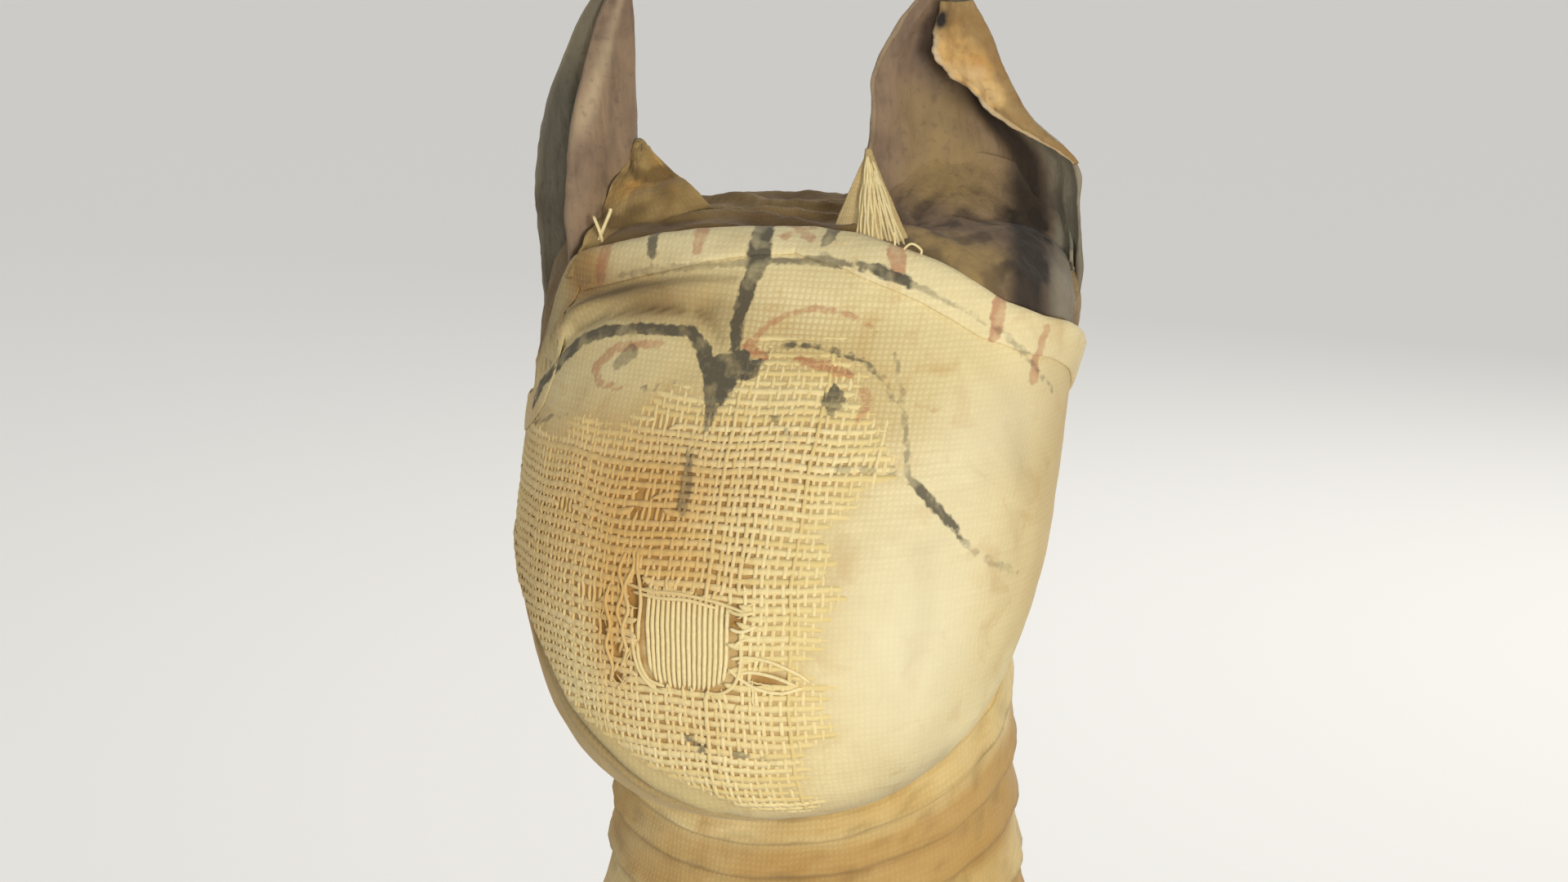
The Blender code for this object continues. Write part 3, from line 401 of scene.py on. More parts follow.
def deselect():
    for obj in bpy.context.selected_objects:
        obj.select_set(False)


# Materials

WEAVE_PITCH = 0.9 * MM  # fine linen's own, about 0.5 mm, wouldn't show, so it is drawn coarser
PACKING_PITCH = 1.6 * MM
WAVE_LENGTH = 0.31416  # a wave texture repeats every so much over its scale


def new_material(name, roughness, sheen=0.0):
    """An empty Principled material: its tree and its shader."""
    material = bpy.data.materials.new(name)
    material.use_nodes = True
    shader = material.node_tree.nodes["Principled BSDF"]
    shader.inputs["Roughness"].default_value = roughness
    shader.inputs["Specular IOR Level"].default_value = 0.3
    shader.inputs["Sheen Weight"].default_value = sheen
    return material, material.node_tree, shader


def finish_material(tree, shader, colour, relief):
    """Gives a shader its colour and its relief."""
    tree.links.new(first_output(colour), shader.inputs["Base Color"])
    tree.links.new(first_output(relief), shader.inputs["Normal"])


def tint_patches(tree, colour, tint, noise, low, high, most=1.0):
    """A colour with a tint over it in patches, where a noise is high."""
    span = {"From Min": low, "From Max": high, "To Max": most}
    share = add_node(tree, "MapRange", {}, {"Value": noise, **span})
    return add_node(tree, "Mix", COLOURS, {SHARE: share, FIRST: colour, SECOND: tint})


def tint_layer(tree, colour, tint, layer):
    """A colour with a tint over it, as much as one of the mesh's layers says."""
    share = add_node(tree, "Attribute", {"attribute_name": layer}).outputs["Fac"]
    return add_node(tree, "Mix", COLOURS, {SHARE: share, FIRST: colour, SECOND: tint})


def pale_floor():
    """Matt pale floor, a little brighter to the camera than the light on it makes it."""
    material, tree, shader = new_material("pale_floor", 0.9)
    shader.inputs["Base Color"].default_value = linear("#dedcd7")
    shader.inputs["Emission Color"].default_value = linear("#f4f2ee")
    seen = add_node(tree, "LightPath").outputs["Is Camera Ray"]
    glow = add_node(tree, "Math", MULTIPLY, {0: seen, 1: FLOOR_GLOW})
    tree.links.new(first_output(glow), shader.inputs["Emission Strength"])
    return material


def paint(tree, place, cloth):
    """Brush strokes over a cloth's colour: lamp black and red ochre, worn off in places."""
    grain = add_node(tree, "TexNoise", {}, {"Vector": place, "Scale": 700, "Detail": 2})
    patches = add_node(tree, "TexNoise", {}, {"Vector": place, "Scale": 300, "Detail": 3})
    span = {"From Min": 0.34, "From Max": 0.54, "To Min": 0.62}
    wear = add_node(tree, "MapRange", {}, {"Value": patches, **span})
    for stroke, colour, cover in (("red", "#a8553a", 0.72), ("soot", "#4c483c", 0.93)):
        reach = add_node(tree, "Attribute", {"attribute_name": stroke}).outputs["Fac"]
        strength = add_node(tree, "Attribute", {"attribute_name": stroke + "_strength"})
        edge = add_node(tree, "Math", MULTIPLY_ADD, {0: grain, 1: 1.5, 2: reach})
        span = {"From Min": 0.95, "From Max": 0.55, "To Max": cover}
        inside = add_node(tree, "MapRange", {}, {"Value": edge, **span})
        worn = add_node(tree, "Math", MULTIPLY, {0: inside, 1: wear})
        share = add_node(tree, "Math", MULTIPLY, {0: worn, 1: strength.outputs["Fac"]})
        cloth = add_node(tree, "Mix", COLOURS, {SHARE: share, FIRST: cloth, SECOND: colour})
    return cloth


def linen(name, pale, deep, stain, pitch=WEAVE_PITCH, relief=0.06 * MM, painted=False):
    """Hand-spun flax in plain weave, yellowed by resin: matt, mottled and uneven, with shade
    painted into its folds and creases along with some grime."""
    material, tree, shader = new_material(name, 0.92, 0.12)
    place = add_node(tree, "TexCoord").outputs["Object"]
    cloth_map = add_node(tree, "UVMap", {"uv_map": "cloth"})
    bands = {
        "Vector": cloth_map,
        "Scale": WAVE_LENGTH / pitch,
        "Distortion": 3.0,
        "Detail": 2,
        "Detail Scale": 0.5,
    }
    wefts = add_node(tree, "TexWave", {"bands_direction": "Y"}, bands).outputs["Fac"]
    warps = add_node(tree, "TexWave", {"bands_direction": "X"}, bands).outputs["Fac"]
    threads = add_node(tree, "Math", MULTIPLY, {0: wefts, 1: warps})
    mottle = add_node(
        tree, "TexNoise", {}, {"Vector": place, "Scale": 50, "Detail": 6, "Distortion": 0.4}
    )
    colour = tint_patches(tree, pale, deep, mottle, 0.36, 0.66)
    # slubs are thick lengths of thread, about 1 mm by 15 mm
    stretched = add_node(tree, "Mapping", {}, {"Vector": cloth_map, "Scale": (60, 900, 1)})
    slubs = add_node(tree, "TexNoise", {}, {"Vector": stretched, "Scale": 1, "Detail": 3})
    colour = tint_patches(tree, colour, deep, slubs, 0.4, 0.68, 0.35)
    spots = add_node(
        tree, "TexNoise", {}, {"Vector": place, "Scale": 140, "Detail": 5, "Distortion": 0.8}
    )
    colour = tint_patches(tree, colour, stain, spots, 0.56, 0.72, 0.4)
    # the amber layer: resin stains, and on the face's far sides painted shade as well
    colour = tint_layer(tree, colour, stain, "amber")
    coarse = add_node(tree, "Attribute", {"attribute_name": "coarse"}).outputs["Fac"]
    depth = add_node(tree, "Math", MULTIPLY_ADD, {0: coarse, 1: 0.26, 2: 0.08})
    span = {"From Max": 0.4, "To Min": 1.0, "To Max": 0.0}
    gaps = add_node(tree, "MapRange", {}, {"Value": threads, **span})
    gaps = add_node(tree, "Math", MULTIPLY, {0: gaps, 1: depth})
    colour = add_node(tree, "Mix", DARKENING, {SHARE: gaps, FIRST: colour, SECOND: stain})
    # the tan ground seen between the open threads; on the ochre torn corner this layer is a painted
    # highlight
    colour = tint_layer(tree, colour, "#b08544", "gap")
    if painted:
        # a painted highlight on the cheek that faces the key light, and paler cloth on the brow hem
        colour = tint_layer(tree, colour, "#efe8c9", "bleach_and_highlight")
        colour = paint(tree, place, colour)
    # this layer paints shade into creases, fold valleys, laps and holes, with some grime
    colour = tint_layer(tree, colour, "#5c4828", "grime_and_shade")
    slack = add_node(tree, "TexNoise", {}, {"Vector": place, "Scale": 200, "Detail": 5})
    slack = add_node(tree, "Bump", {}, {"Height": slack, "Distance": 0.35 * MM})
    weave = {"Height": threads, "Distance": relief, "Normal": slack}
    finish_material(tree, shader, colour, add_node(tree, "Bump", {}, weave))
    return material


def yarn(name, pale, deep, stain):
    """Single flax threads, loosely spun: pale and a little glossy on top, hairy and darker
    below."""
    material, tree, shader = new_material(name, 0.72, 0.2)
    place = add_node(tree, "TexCoord").outputs["Object"]
    colour = tint_layer(tree, pale, deep, "tone")
    fibres = add_node(tree, "TexNoise", {}, {"Vector": place, "Scale": 1400, "Detail": 3})
    colour = tint_patches(tree, colour, deep, fibres, 0.42, 0.7, 0.45)
    colour = tint_layer(tree, colour, stain, "amber")
    colour = paint(tree, place, colour)
    # this layer paints shade from the face's creases and holes onto the threads, with some grime
    colour = tint_layer(tree, colour, "#5a4526", "grime_and_shade")
    relief = add_node(tree, "Bump", {}, {"Height": fibres, "Distance": 0.12 * MM})
    finish_material(tree, shader, colour, relief)
    return material


def dried_skin(name, base, light, dark, ochre, roughness=0.7):
    """Dried hide: leathery and matt, wrinkled lengthwise, greyed outside and ochre within."""
    material, tree, shader = new_material(name, roughness, 0.08)
    place = add_node(tree, "TexCoord").outputs["Object"]
    upright = add_node(tree, "Mapping", {}, {"Vector": place, "Scale": (1, 1, 0.22)})
    mottle = add_node(
        tree, "TexNoise", {}, {"Vector": place, "Scale": 100, "Detail": 6, "Distortion": 0.5}
    )
    colour = tint_patches(tree, base, light, mottle, 0.35, 0.68)
    veins = add_node(
        tree, "TexNoise", {}, {"Vector": upright, "Scale": 440, "Detail": 5, "Distortion": 0.6}
    )
    colour = tint_patches(tree, colour, dark, veins, 0.46, 0.7, 0.5)
    dust = add_node(tree, "TexNoise", {}, {"Vector": place, "Scale": 330, "Detail": 6})
    colour = tint_patches(tree, colour, light, dust, 0.5, 0.68, 0.4)
    # pale: worn pale edges, and a painted highlight along the right ear's ridge
    for stain, tint in (("ochre", ochre), ("grey", "#85826f"), ("pale", "#d6c09a")):
        share = add_node(tree, "Attribute", {"attribute_name": stain}).outputs["Fac"]
        span = {"From Min": 0.3, "From Max": 0.6, "To Min": 0.55}
        patchy = add_node(tree, "MapRange", {}, {"Value": mottle, **span})
        share = add_node(tree, "Math", MULTIPLY, {0: share, 1: patchy})
        colour = add_node(tree, "Mix", COLOURS, {SHARE: share, FIRST: colour, SECOND: tint})
    pores = add_node(tree, "TexNoise", {}, {"Vector": place, "Scale": 700, "Detail": 2})
    span = {"From Min": 0.3, "From Max": 0.42, "To Min": 0.25, "To Max": 0.0}
    share = add_node(tree, "MapRange", {}, {"Value": pores, **span})
    colour = add_node(tree, "Mix", COLOURS, {SHARE: share, FIRST: colour, SECOND: dark})
    # dark: painted shade in the ears' grooves, cups and crumples, and darker hide in places
    colour = tint_layer(tree, colour, "#221b14", "dark")
    wrinkles = add_node(
        tree, "TexNoise", {}, {"Vector": upright, "Scale": 640, "Detail": 5, "Distortion": 0.5}
    )
    wrinkles = add_node(tree, "Bump", {}, {"Height": wrinkles, "Distance": 0.3 * MM})
    relief = add_node(
        tree, "Bump", {}, {"Height": pores, "Distance": 0.15 * MM, "Normal": wrinkles}
    )
    finish_material(tree, shader, colour, relief)
    return material


def bone():
    """Old bone: dry, matt and ivory, browned where flesh dried on it, with fine pits."""
    material, tree, shader = new_material("old_bone", 0.55)
    place = add_node(tree, "TexCoord").outputs["Object"]
    browned = add_node(tree, "TexNoise", {}, {"Vector": place, "Scale": 60, "Detail": 6})
    colour = tint_patches(tree, "#d8c9a3", "#a5875a", browned, 0.38, 0.66)
    pits = add_node(tree, "TexNoise", {}, {"Vector": place, "Scale": 900, "Detail": 3})
    relief = add_node(tree, "Bump", {}, {"Height": pits, "Distance": 0.15 * MM})
    finish_material(tree, shader, colour, relief)
    return material


def dried_flesh():
    """Flesh dried with natron and resin: dark brown, stringy, with a faint resin gloss."""
    material, tree, shader = new_material("dried_flesh", 0.5)
    place = add_node(tree, "TexCoord").outputs["Object"]
    upright = add_node(tree, "Mapping", {}, {"Vector": place, "Scale": (1, 1, 0.2)})
    strings = add_node(
        tree, "TexNoise", {}, {"Vector": upright, "Scale": 350, "Detail": 6, "Distortion": 0.8}
    )
    colour = tint_patches(tree, "#3d2a1b", "#7a5533", strings, 0.35, 0.68)
    relief = add_node(tree, "Bump", {}, {"Height": strings, "Distance": 0.6 * MM})
    finish_material(tree, shader, colour, relief)
    return material


def coarse_packing():
    """Coarse packing linen: brown and slack, with thick uneven threads lying level."""
    material, tree, shader = new_material("coarse_packing", 0.95, 0.15)
    place = add_node(tree, "TexCoord").outputs["Object"]
    bands = {"Vector": place, "Scale": WAVE_LENGTH / PACKING_PITCH, "Distortion": 1.5, "Detail": 2}
    level = add_node(tree, "TexWave", {"bands_direction": "Z"}, bands).outputs["Fac"]
    mottle = add_node(tree, "TexNoise", {}, {"Vector": place, "Scale": 60, "Detail": 6})
    colour = tint_patches(tree, "#b59a66", "#7d6238", mottle, 0.36, 0.66)
    gaps = add_node(tree, "MapRange", {}, {"Value": level, "To Min": 0.5, "To Max": 0.0})
    colour = add_node(tree, "Mix", DARKENING, {SHARE: gaps, FIRST: colour, SECOND: "#7d6238"})
    slack = add_node(tree, "Bump", {}, {"Height": mottle, "Distance": 1.0 * MM})
    relief = add_node(tree, "Bump", {}, {"Height": level, "Distance": 0.3 * MM, "Normal": slack})
    finish_material(tree, shader, colour, relief)
    return material


MATERIALS = {
    "face": linen(
        "painted_linen", "#e8d9a6", "#d6c38c", "#bf9350", 1.05 * MM, 0.05 * MM, painted=True
    ),
    "yarn": yarn("flax_threads", "#f3e3ae", "#e0c988", "#cf9f50"),
    "crown": linen("stained_crown_linen", "#a08555", "#745a32", "#4c3521"),
    "cream": linen("cream_bandage_linen", "#e3cf98", "#cfb272", "#b1884a"),
    "ochre": linen("ochre_bandage_linen", "#d6b168", "#bd944d", "#99733a"),
    "amber": linen("amber_bandage_linen", "#cca45c", "#ad8544", "#876231"),
    "collar_cream": linen("torn_cream_linen", "#dfcd9c", "#c9ae74", "#9f7b49"),
    "collar_ochre": linen("torn_ochre_linen", "#c3a871", "#a08552", "#6c5434"),
    "hide": dried_skin("dried_ear_hide", "#77624f", "#8f775d", "#4f4138", "#9c8350"),
    "raw_hide": dried_skin("peeled_ear_hide", "#bd9150", "#d3b073", "#885c36", "#b27f3c", 0.75),
    "packing": coarse_packing(),
    "bone": bone(),
    "flesh": dried_flesh(),
}


# Meshes


def quads(index):
    """The faces between a grid's points, given the points' numbers."""
    corners = [index[:-1, :-1], index[:-1, 1:], index[1:, 1:], index[1:, :-1]]
    return np.stack([corner.ravel() for corner in corners], axis=1)


def add_layers(mesh, layers):
    """Keeps layers of numbers on a mesh, with one number for each point."""
    for name, numbers in layers.items():
        attribute = mesh.attributes.new(name, "FLOAT", "POINT")
        attribute.data.foreach_set("value", np.ascontiguousarray(numbers, np.float32).ravel())


def grid_object(name, points, material, values, place=None, ring=False, closed=False, caps=False):
    """A mesh over a grid of points. values are layers of numbers, place a cloth map. ring joins
    each row's ends, closed joins the last row to the first, caps close a tube's two ends."""
    rows, columns = points.shape[:2]
    index = np.arange(rows * columns).reshape(rows, columns)
    if ring:
        index = np.concatenate([index, index[:, :1]], axis=1)
    if closed:
        index = np.concatenate([index, index[:1]], axis=0)
    faces = quads(index)
    ends = [index[0, :columns][::-1].tolist(), index[-1, :columns].tolist()] if caps else []
    mesh = bpy.data.meshes.new(name)
    mesh.from_pydata(points.reshape(-1, 3).tolist(), [], faces.tolist() + ends)
    add_layers(mesh, values)
    if place is not None:
        flat = np.stack([np.ravel(place[0]), np.ravel(place[1])], axis=1)
        spots = np.concatenate([faces.ravel()] + [np.array(end) for end in ends]).astype(int)
        cloth = mesh.uv_layers.new(name="cloth")
        cloth.data.foreach_set("uv", flat[spots].astype(np.float32).ravel())
    mesh.shade_smooth()
    return link_piece(name, mesh, material)


def strands_object(name, strands, material, sides=6):
    """Thin tubes in one mesh. Each strand is (points, outward directions, half width, half
    height, values); half width and half height are numbers or one for each point."""
    turns = np.arange(sides) * 2 * math.pi / sides - math.pi / 2
    places, faces, ends, layers = [], [], [], {}
    count = 0
    for points, outward, half_width, half_height, values in strands:
        along = unit(np.gradient(points, axis=0))
        sideways = unit(np.cross(along, outward))
        steps = len(points)
        # a strand thins out over its last points
        fade = np.minimum(1, np.minimum(np.arange(steps), np.arange(steps)[::-1]) * 0.45 + 0.3)
        wide = (np.broadcast_to(half_width, steps) * fade)[:, None, None]
        high = (np.broadcast_to(half_height, steps) * fade)[:, None, None]
        ring = sideways[:, None] * wide * np.cos(turns)[None, :, None]
        ring = ring + outward[:, None] * high * np.sin(turns)[None, :, None]
        places.append((points[:, None] + ring).reshape(-1, 3))
        index = count + np.arange(steps * sides).reshape(steps, sides)
        faces.append(quads(np.concatenate([index, index[:, :1]], axis=1)))
        ends += [index[0][::-1].tolist(), index[-1].tolist()]
        for layer_name, numbers in values.items():
            numbers = np.repeat(np.broadcast_to(numbers, steps), sides)
            layers.setdefault(layer_name, []).append(numbers)
        count += steps * sides
    mesh = bpy.data.meshes.new(name)
    mesh.from_pydata(np.concatenate(places).tolist(), [], np.concatenate(faces).tolist() + ends)
    add_layers(mesh, {layer_name: np.concatenate(parts) for layer_name, parts in layers.items()})
    mesh.shade_smooth()
    turn_outward(mesh)
    return link_piece(name, mesh, material)


def turn_outward(mesh):
    bm = bmesh.new()
    bm.from_mesh(mesh)
    bmesh.ops.recalc_face_normals(bm, faces=bm.faces)
    bm.to_mesh(mesh)
    bm.free()


def link_piece(name, mesh, material):
    piece = bpy.data.objects.new(name, mesh)
    bpy.context.scene.collection.objects.link(piece)
    mesh.materials.append(material)
    return piece


def finish_piece(piece, slot, *nodes):
    """Applies a piece's modifiers, parents it to the root and hides the solids that it stands for.
    """
    deselect()
    bpy.context.view_layer.objects.active = piece
    piece.select_set(True)
    for modifier in list(piece.modifiers):
        bpy.ops.object.modifier_apply(modifier=modifier.name)
    piece.select_set(False)
    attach(piece, "root")
    if nodes:
        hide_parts(*nodes)


def give_thickness(piece, thickness, side):
    solid = piece.modifiers.new("cloth", "SOLIDIFY")
    solid.thickness = thickness
    solid.offset = side


def lumps(points, size, seed, octaves=3):
    """Soft noise from -1 to 1 at each point, with bumps about size apart."""
    shift = Vector((seed * 7.31, seed * 3.17, seed * 5.71))
    flat = (np.asarray(points) / size).reshape(-1, 3)
    values = [noise.fractal(Vector(p) + shift, 1.0, 2.0, octaves) for p in flat]
    return np.array(values).reshape(np.shape(points)[:-1])


def smooth_step(values, low, high):
    share = np.clip((values - low) / (high - low), 0, 1)
    return share * share * (3 - 2 * share)


def spot(across, up, centre_across, centre_up, half_width, half_height):
    """A soft round spot: 1 in its middle, fading out."""
    reach = ((across - centre_across) / half_width) ** 2 + ((up - centre_up) / half_height) ** 2
    return np.exp(-reach)


# Painted face. Places are in mm on the face cloth: across from the middle, up from the chin.

# Brush strokes: strength, then places along the stroke with its half width there
SOOT_STROKES = [
    # middle line, bridge and nose
    (1.0, [(-0.8, 130.5, 1.6), (0.5, 121.1, 1.9), (-0.4, 115.6, 1.3), (-1.2, 111.4, 1.2),
           (-0.8, 106.2, 1.0)]),
    (1.0, [(0.6, 103.2, 1.9), (-1.8, 101.4, 3.1), (-1.6, 98.6, 2.4), (-1.2, 95.8, 0.8)]),
    (1.0, [(-1.0, 101.6, 2.2), (2.8, 101.4, 1.6), (4.0, 103.2, 0.7)]),
    (0.85, [(-3.2, 97.6, 1.6), (-2.6, 94.2, 1.1), (-2.7, 91.0, 0.5)]),
    (0.75, [(-4.6, 86.0, 0.6), (-4.4, 81.0, 0.9), (-4.2, 78.0, 1.1), (-4.0, 75.5, 0.5)]),
    # brow of the animal's right eye
    (1.0, [(-47.2, 87.6, 0.6), (-43.2, 93.0, 1.0), (-37.4, 98.8, 1.2), (-32.1, 103.3, 1.2),
           (-26.8, 105.7, 1.1)]),
    (1.0, [(-26.8, 105.7, 1.1), (-18.3, 107.2, 1.0), (-9.2, 107.7, 1.0), (-6.6, 105.0, 1.3),
           (-4.4, 101.2, 1.6), (-3.0, 98.0, 1.4)]),
    # lid of the left eye, in dashes
    (0.7, [(4.6, 104.9, 0.4), (6.0, 105.7, 0.4)]),
    (0.95, [(6.8, 105.9, 0.5), (9.4, 106.5, 0.6)]),
    (0.95, [(10.4, 106.7, 0.6), (13.4, 106.3, 0.6)]),
    (0.95, [(14.4, 106.1, 0.5), (17.4, 105.2, 0.6)]),
    (0.85, [(18.4, 104.9, 0.5), (21.2, 103.9, 0.5)]),
    (0.75, [(22.4, 103.0, 0.4), (25.2, 100.4, 0.5)]),
    (0.6, [(26.0, 99.4, 0.4), (27.6, 96.6, 0.4)]),
    # pupils
    (0.9, [(17.4, 99.6, 0.4), (17.6, 96.9, 1.9), (17.8, 94.1, 0.4)]),
    (0.55, [(-22.8, 100.0, 1.1), (-20.0, 102.8, 1.4)]),
    # marks under the eyes
    (0.7, [(-16.2, 96.3, 0.5), (-13.6, 96.9, 0.5)]),
    (0.6, [(-12.2, 97.6, 0.4), (-10.2, 98.3, 0.4)]),
    (0.6, [(-45.5, 85.0, 0.4), (-37.0, 87.9, 0.5), (-32.5, 89.4, 0.3)]),
    (0.5, [(0.2, 95.4, 0.3), (2.2, 95.0, 0.3)]),
    (0.6, [(7.2, 94.0, 0.4), (8.8, 93.0, 0.4)]),
    (0.5, [(10.6, 91.4, 0.4), (11.8, 90.2, 0.3)]),
    (0.45, [(20.4, 84.6, 0.5), (22.0, 84.4, 0.5)]),
    (0.45, [(24.6, 84.2, 0.5), (26.4, 84.0, 0.5)]),
    (0.45, [(29.3, 83.7, 0.5), (31.0, 83.6, 0.5)]),
    # cheek of the left side
    (0.95, [(32.2, 82.9, 0.5), (34.8, 80.4, 0.9), (38.1, 77.3, 0.9), (41.6, 74.0, 0.8),
            (44.2, 71.0, 0.4)]),
    (0.45, [(44.8, 70.4, 0.5), (48.2, 68.0, 0.5)]),
    (0.35, [(50.0, 66.9, 0.6), (55.0, 64.4, 0.6), (60.0, 62.7, 0.3)]),
    (0.5, [(25.9, 105.6, 0.3), (28.7, 98.0, 0.4), (31.0, 89.3, 0.4), (32.2, 84.0, 0.5)]),
    # chin
    (0.8, [(-1.2, 38.0, 0.5), (1.2, 36.5, 0.5)]),
    (0.65, [(6.3, 35.8, 0.4), (8.4, 35.5, 0.4)]),
    (0.5, [(11.0, 35.0, 0.4), (13.0, 34.6, 0.4)]),
    # line under the hem, and the hem's black ticks
    (0.45, [(-35.0, 113.0, 0.4), (-26.8, 115.6, 0.5), (-14.0, 118.2, 0.5), (-6.4, 119.6, 0.6),
            (0.5, 121.1, 0.6)]),
    (0.75, [(0.5, 121.1, 0.6), (10.3, 121.6, 0.7), (17.0, 120.6, 0.6)]),
    (1.0, [(17.7, 120.2, 0.7), (21.6, 119.3, 1.0), (26.6, 117.1, 0.8)]),
    (0.45, [(26.6, 117.1, 0.5), (34.2, 113.7, 0.5), (42.1, 109.3, 0.5), (52.6, 101.2, 0.4),
            (61.0, 94.5, 0.3)]),
    (0.9, [(-20.0, 124.0, 1.1), (-19.3, 119.8, 1.0)]),
    (0.85, [(11.6, 129.2, 1.2), (11.2, 124.6, 1.1)]),
]
RED_STROKES = [
    # ticks on the hem
    (0.7, [(-29.6, 120.0, 1.2), (-29.9, 114.8, 1.4)]),
    (0.75, [(-10.9, 126.0, 1.2), (-10.7, 121.9, 1.1)]),
    (0.7, [(3.6, 129.4, 0.8), (8.8, 125.0, 0.7)]),
    (0.7, [(3.4, 125.4, 0.8), (8.6, 129.2, 0.7)]),
    (0.85, [(23.0, 123.2, 1.5), (24.2, 119.6, 1.3)]),
    (0.85, [(42.0, 113.4, 1.2), (42.8, 107.6, 1.2)]),
    (0.7, [(52.4, 107.6, 0.9), (53.0, 101.9, 0.9), (54.2, 98.0, 1.2)]),
    # brow and lid of the left eye
    (0.62, [(1.8, 105.4, 0.8), (3.5, 109.3, 0.5), (7.3, 111.8, 0.5), (11.9, 113.0, 0.5),
            (17.5, 112.1, 0.5), (22.7, 109.3, 0.3)]),
    (0.9, [(1.4, 105.8, 0.9), (4.2, 104.2, 1.0)]),
    (0.85, [(10.2, 103.8, 0.6), (15.1, 102.8, 0.9), (19.6, 101.3, 0.6)]),
    (0.6, [(21.9, 99.0, 0.6), (23.6, 96.4, 0.9), (22.1, 93.3, 0.5)]),
    # the right eye
    (0.7, [(-20.9, 95.8, 0.5), (-25.8, 96.0, 0.8), (-27.9, 98.7, 0.9), (-23.6, 103.1, 0.9),
           (-14.2, 105.0, 0.7)]),
    (0.35, [(31.2, 95.7, 0.5), (35.9, 94.4, 0.4)]),
    (0.3, [(-38.0, 109.0, 1.6), (-39.5, 103.0, 1.3)]),
]

WEFT_PITCH = 1.62  # between two threads across the face
WARP_PITCH = 1.25  # between two threads up the face
OPEN_LEFT, OPEN_RIGHT = -64.0, 38.0
OPEN_BOTTOM, OPEN_TOP = 12.0, 119.0
# right edge of the open weave, by height up the cloth, and its upper edge, by place across
OPEN_EDGE = [
    (10, 13), (25, 16), (40, 20), (54, 20), (67, 21), (78, 22), (86, 28), (100, 28), (108, 24),
    (118, 18),
]
OPEN_HEAD = [(-60, 78), (-45, 82), (-20, 89), (-11, 94), (-5, 98), (4, 107), (16, 108), (30, 100)]
CHEEK_FADE = 22  # mm over which the open weave closes towards the left cheek
CHEEK_FADE_PAST = 8  # mm of these that lie past its edge
# patch over the muzzle whose cross threads are gone: left, bottom, right, top
PATCH = (-9.2, 46.8, 7.0, 62.0)
PATCH_PITCH = 0.93
# worn holes: place, half width and half height
HOLES = [
    (-10.3, 61.3, 1.3, 4.6),
    (6.9, 59.4, 2.0, 2.2),
    (13.0, 49.2, 4.0, 1.3),
    (-16.8, 55.8, 1.0, 2.0),
    (-13.6, 51.6, 1.0, 1.7),
    (-14.6, 46.9, 1.2, 1.0),
]
# strength, place, half width and half height; resin stains, but the two far out on the animal's
# left, at 74 and 100 across, are painted shade where the face turns away round the side
AMBER_STAINS_AND_SHADE = [
    (0.8, -8.0, 76.0, 10.0, 11.0),
    (0.75, -15.0, 56.0, 4.5, 12.0),
    (0.5, 0.0, 66.5, 9.0, 4.5),
    (0.55, -24.0, 70.0, 15.0, 18.0),
    (0.3, -18.0, 84.0, 20.0, 12.0),
    (0.3, 8.0, 84.0, 10.0, 10.0),
    (0.75, -51.0, 100.0, 6.0, 13.0),
    (0.5, -18.0, 113.0, 16.0, 4.5),
    (0.85, -35.0, 114.5, 5.5, 5.0),
    (0.42, -44.0, 62.0, 14.0, 26.0),
    (0.3, 74.0, 80.0, 22.0, 26.0),
    (0.25, 100.0, 58.0, 30.0, 16.0),
    (0.3, -104.0, 84.0, 30.0, 16.0),
    (0.3, -2.0, 40.0, 14.0, 8.0),
]
# darker patches: painted shade under the hem's fold on the brow and where the face turns away round
# the sides, and darker cloth where the hem turns down the cheek; strength, place, half width and
# half height
SHADE_AND_STAIN_SPOTS = [
    (0.62, -21.0, 112.5, 16.0, 4.0),
    (0.5, -44.0, 104.0, 4.5, 11.0),
    (0.22, -34.0, 107.0, 8.0, 4.0),
    (0.22, -36.0, 115.0, 5.0, 4.0),
    (0.22, -4.0, 110.5, 5.0, 4.0),
    (0.12, -30.0, 96.0, 10.0, 6.0),
    (0.14, -6.0, 84.0, 5.0, 9.0),
    (0.1, 70.0, 84.0, 16.0, 20.0),
    (0.14, 122.0, 70.0, 20.0, 10.0),
]
COARSE_WEAVE = [
    (1.0, 9.0, 107.0, 17.0, 11.0),
    (0.6, 27.0, 90.0, 8.0, 12.0),
    (1.0, -36.0, 114.0, 6.0, 5.0),
]
# a painted highlight where the cheek faces the key light
CHEEK_HIGHLIGHT = [(0.55, 37.0, 54.0, 15.0, 24.0), (0.35, 50.0, 90.0, 14.0, 12.0)]
# the mask's lower edge on the animal's right, that lies doubled on the neck
DOUBLED_EDGE = [
    (-66.0, 72.0),
    (-56.0, 62.0),
    (-46.0, 53.5),
    (-37.5, 47.0),
    (-27.5, 38.2),
    (-18.5, 31.6),
    (-10.0, 25.0),
    (-1.0, 20.4),
    (7.0, 16.3),
    (16.0, 12.0),
    (34.0, 4.0),
]
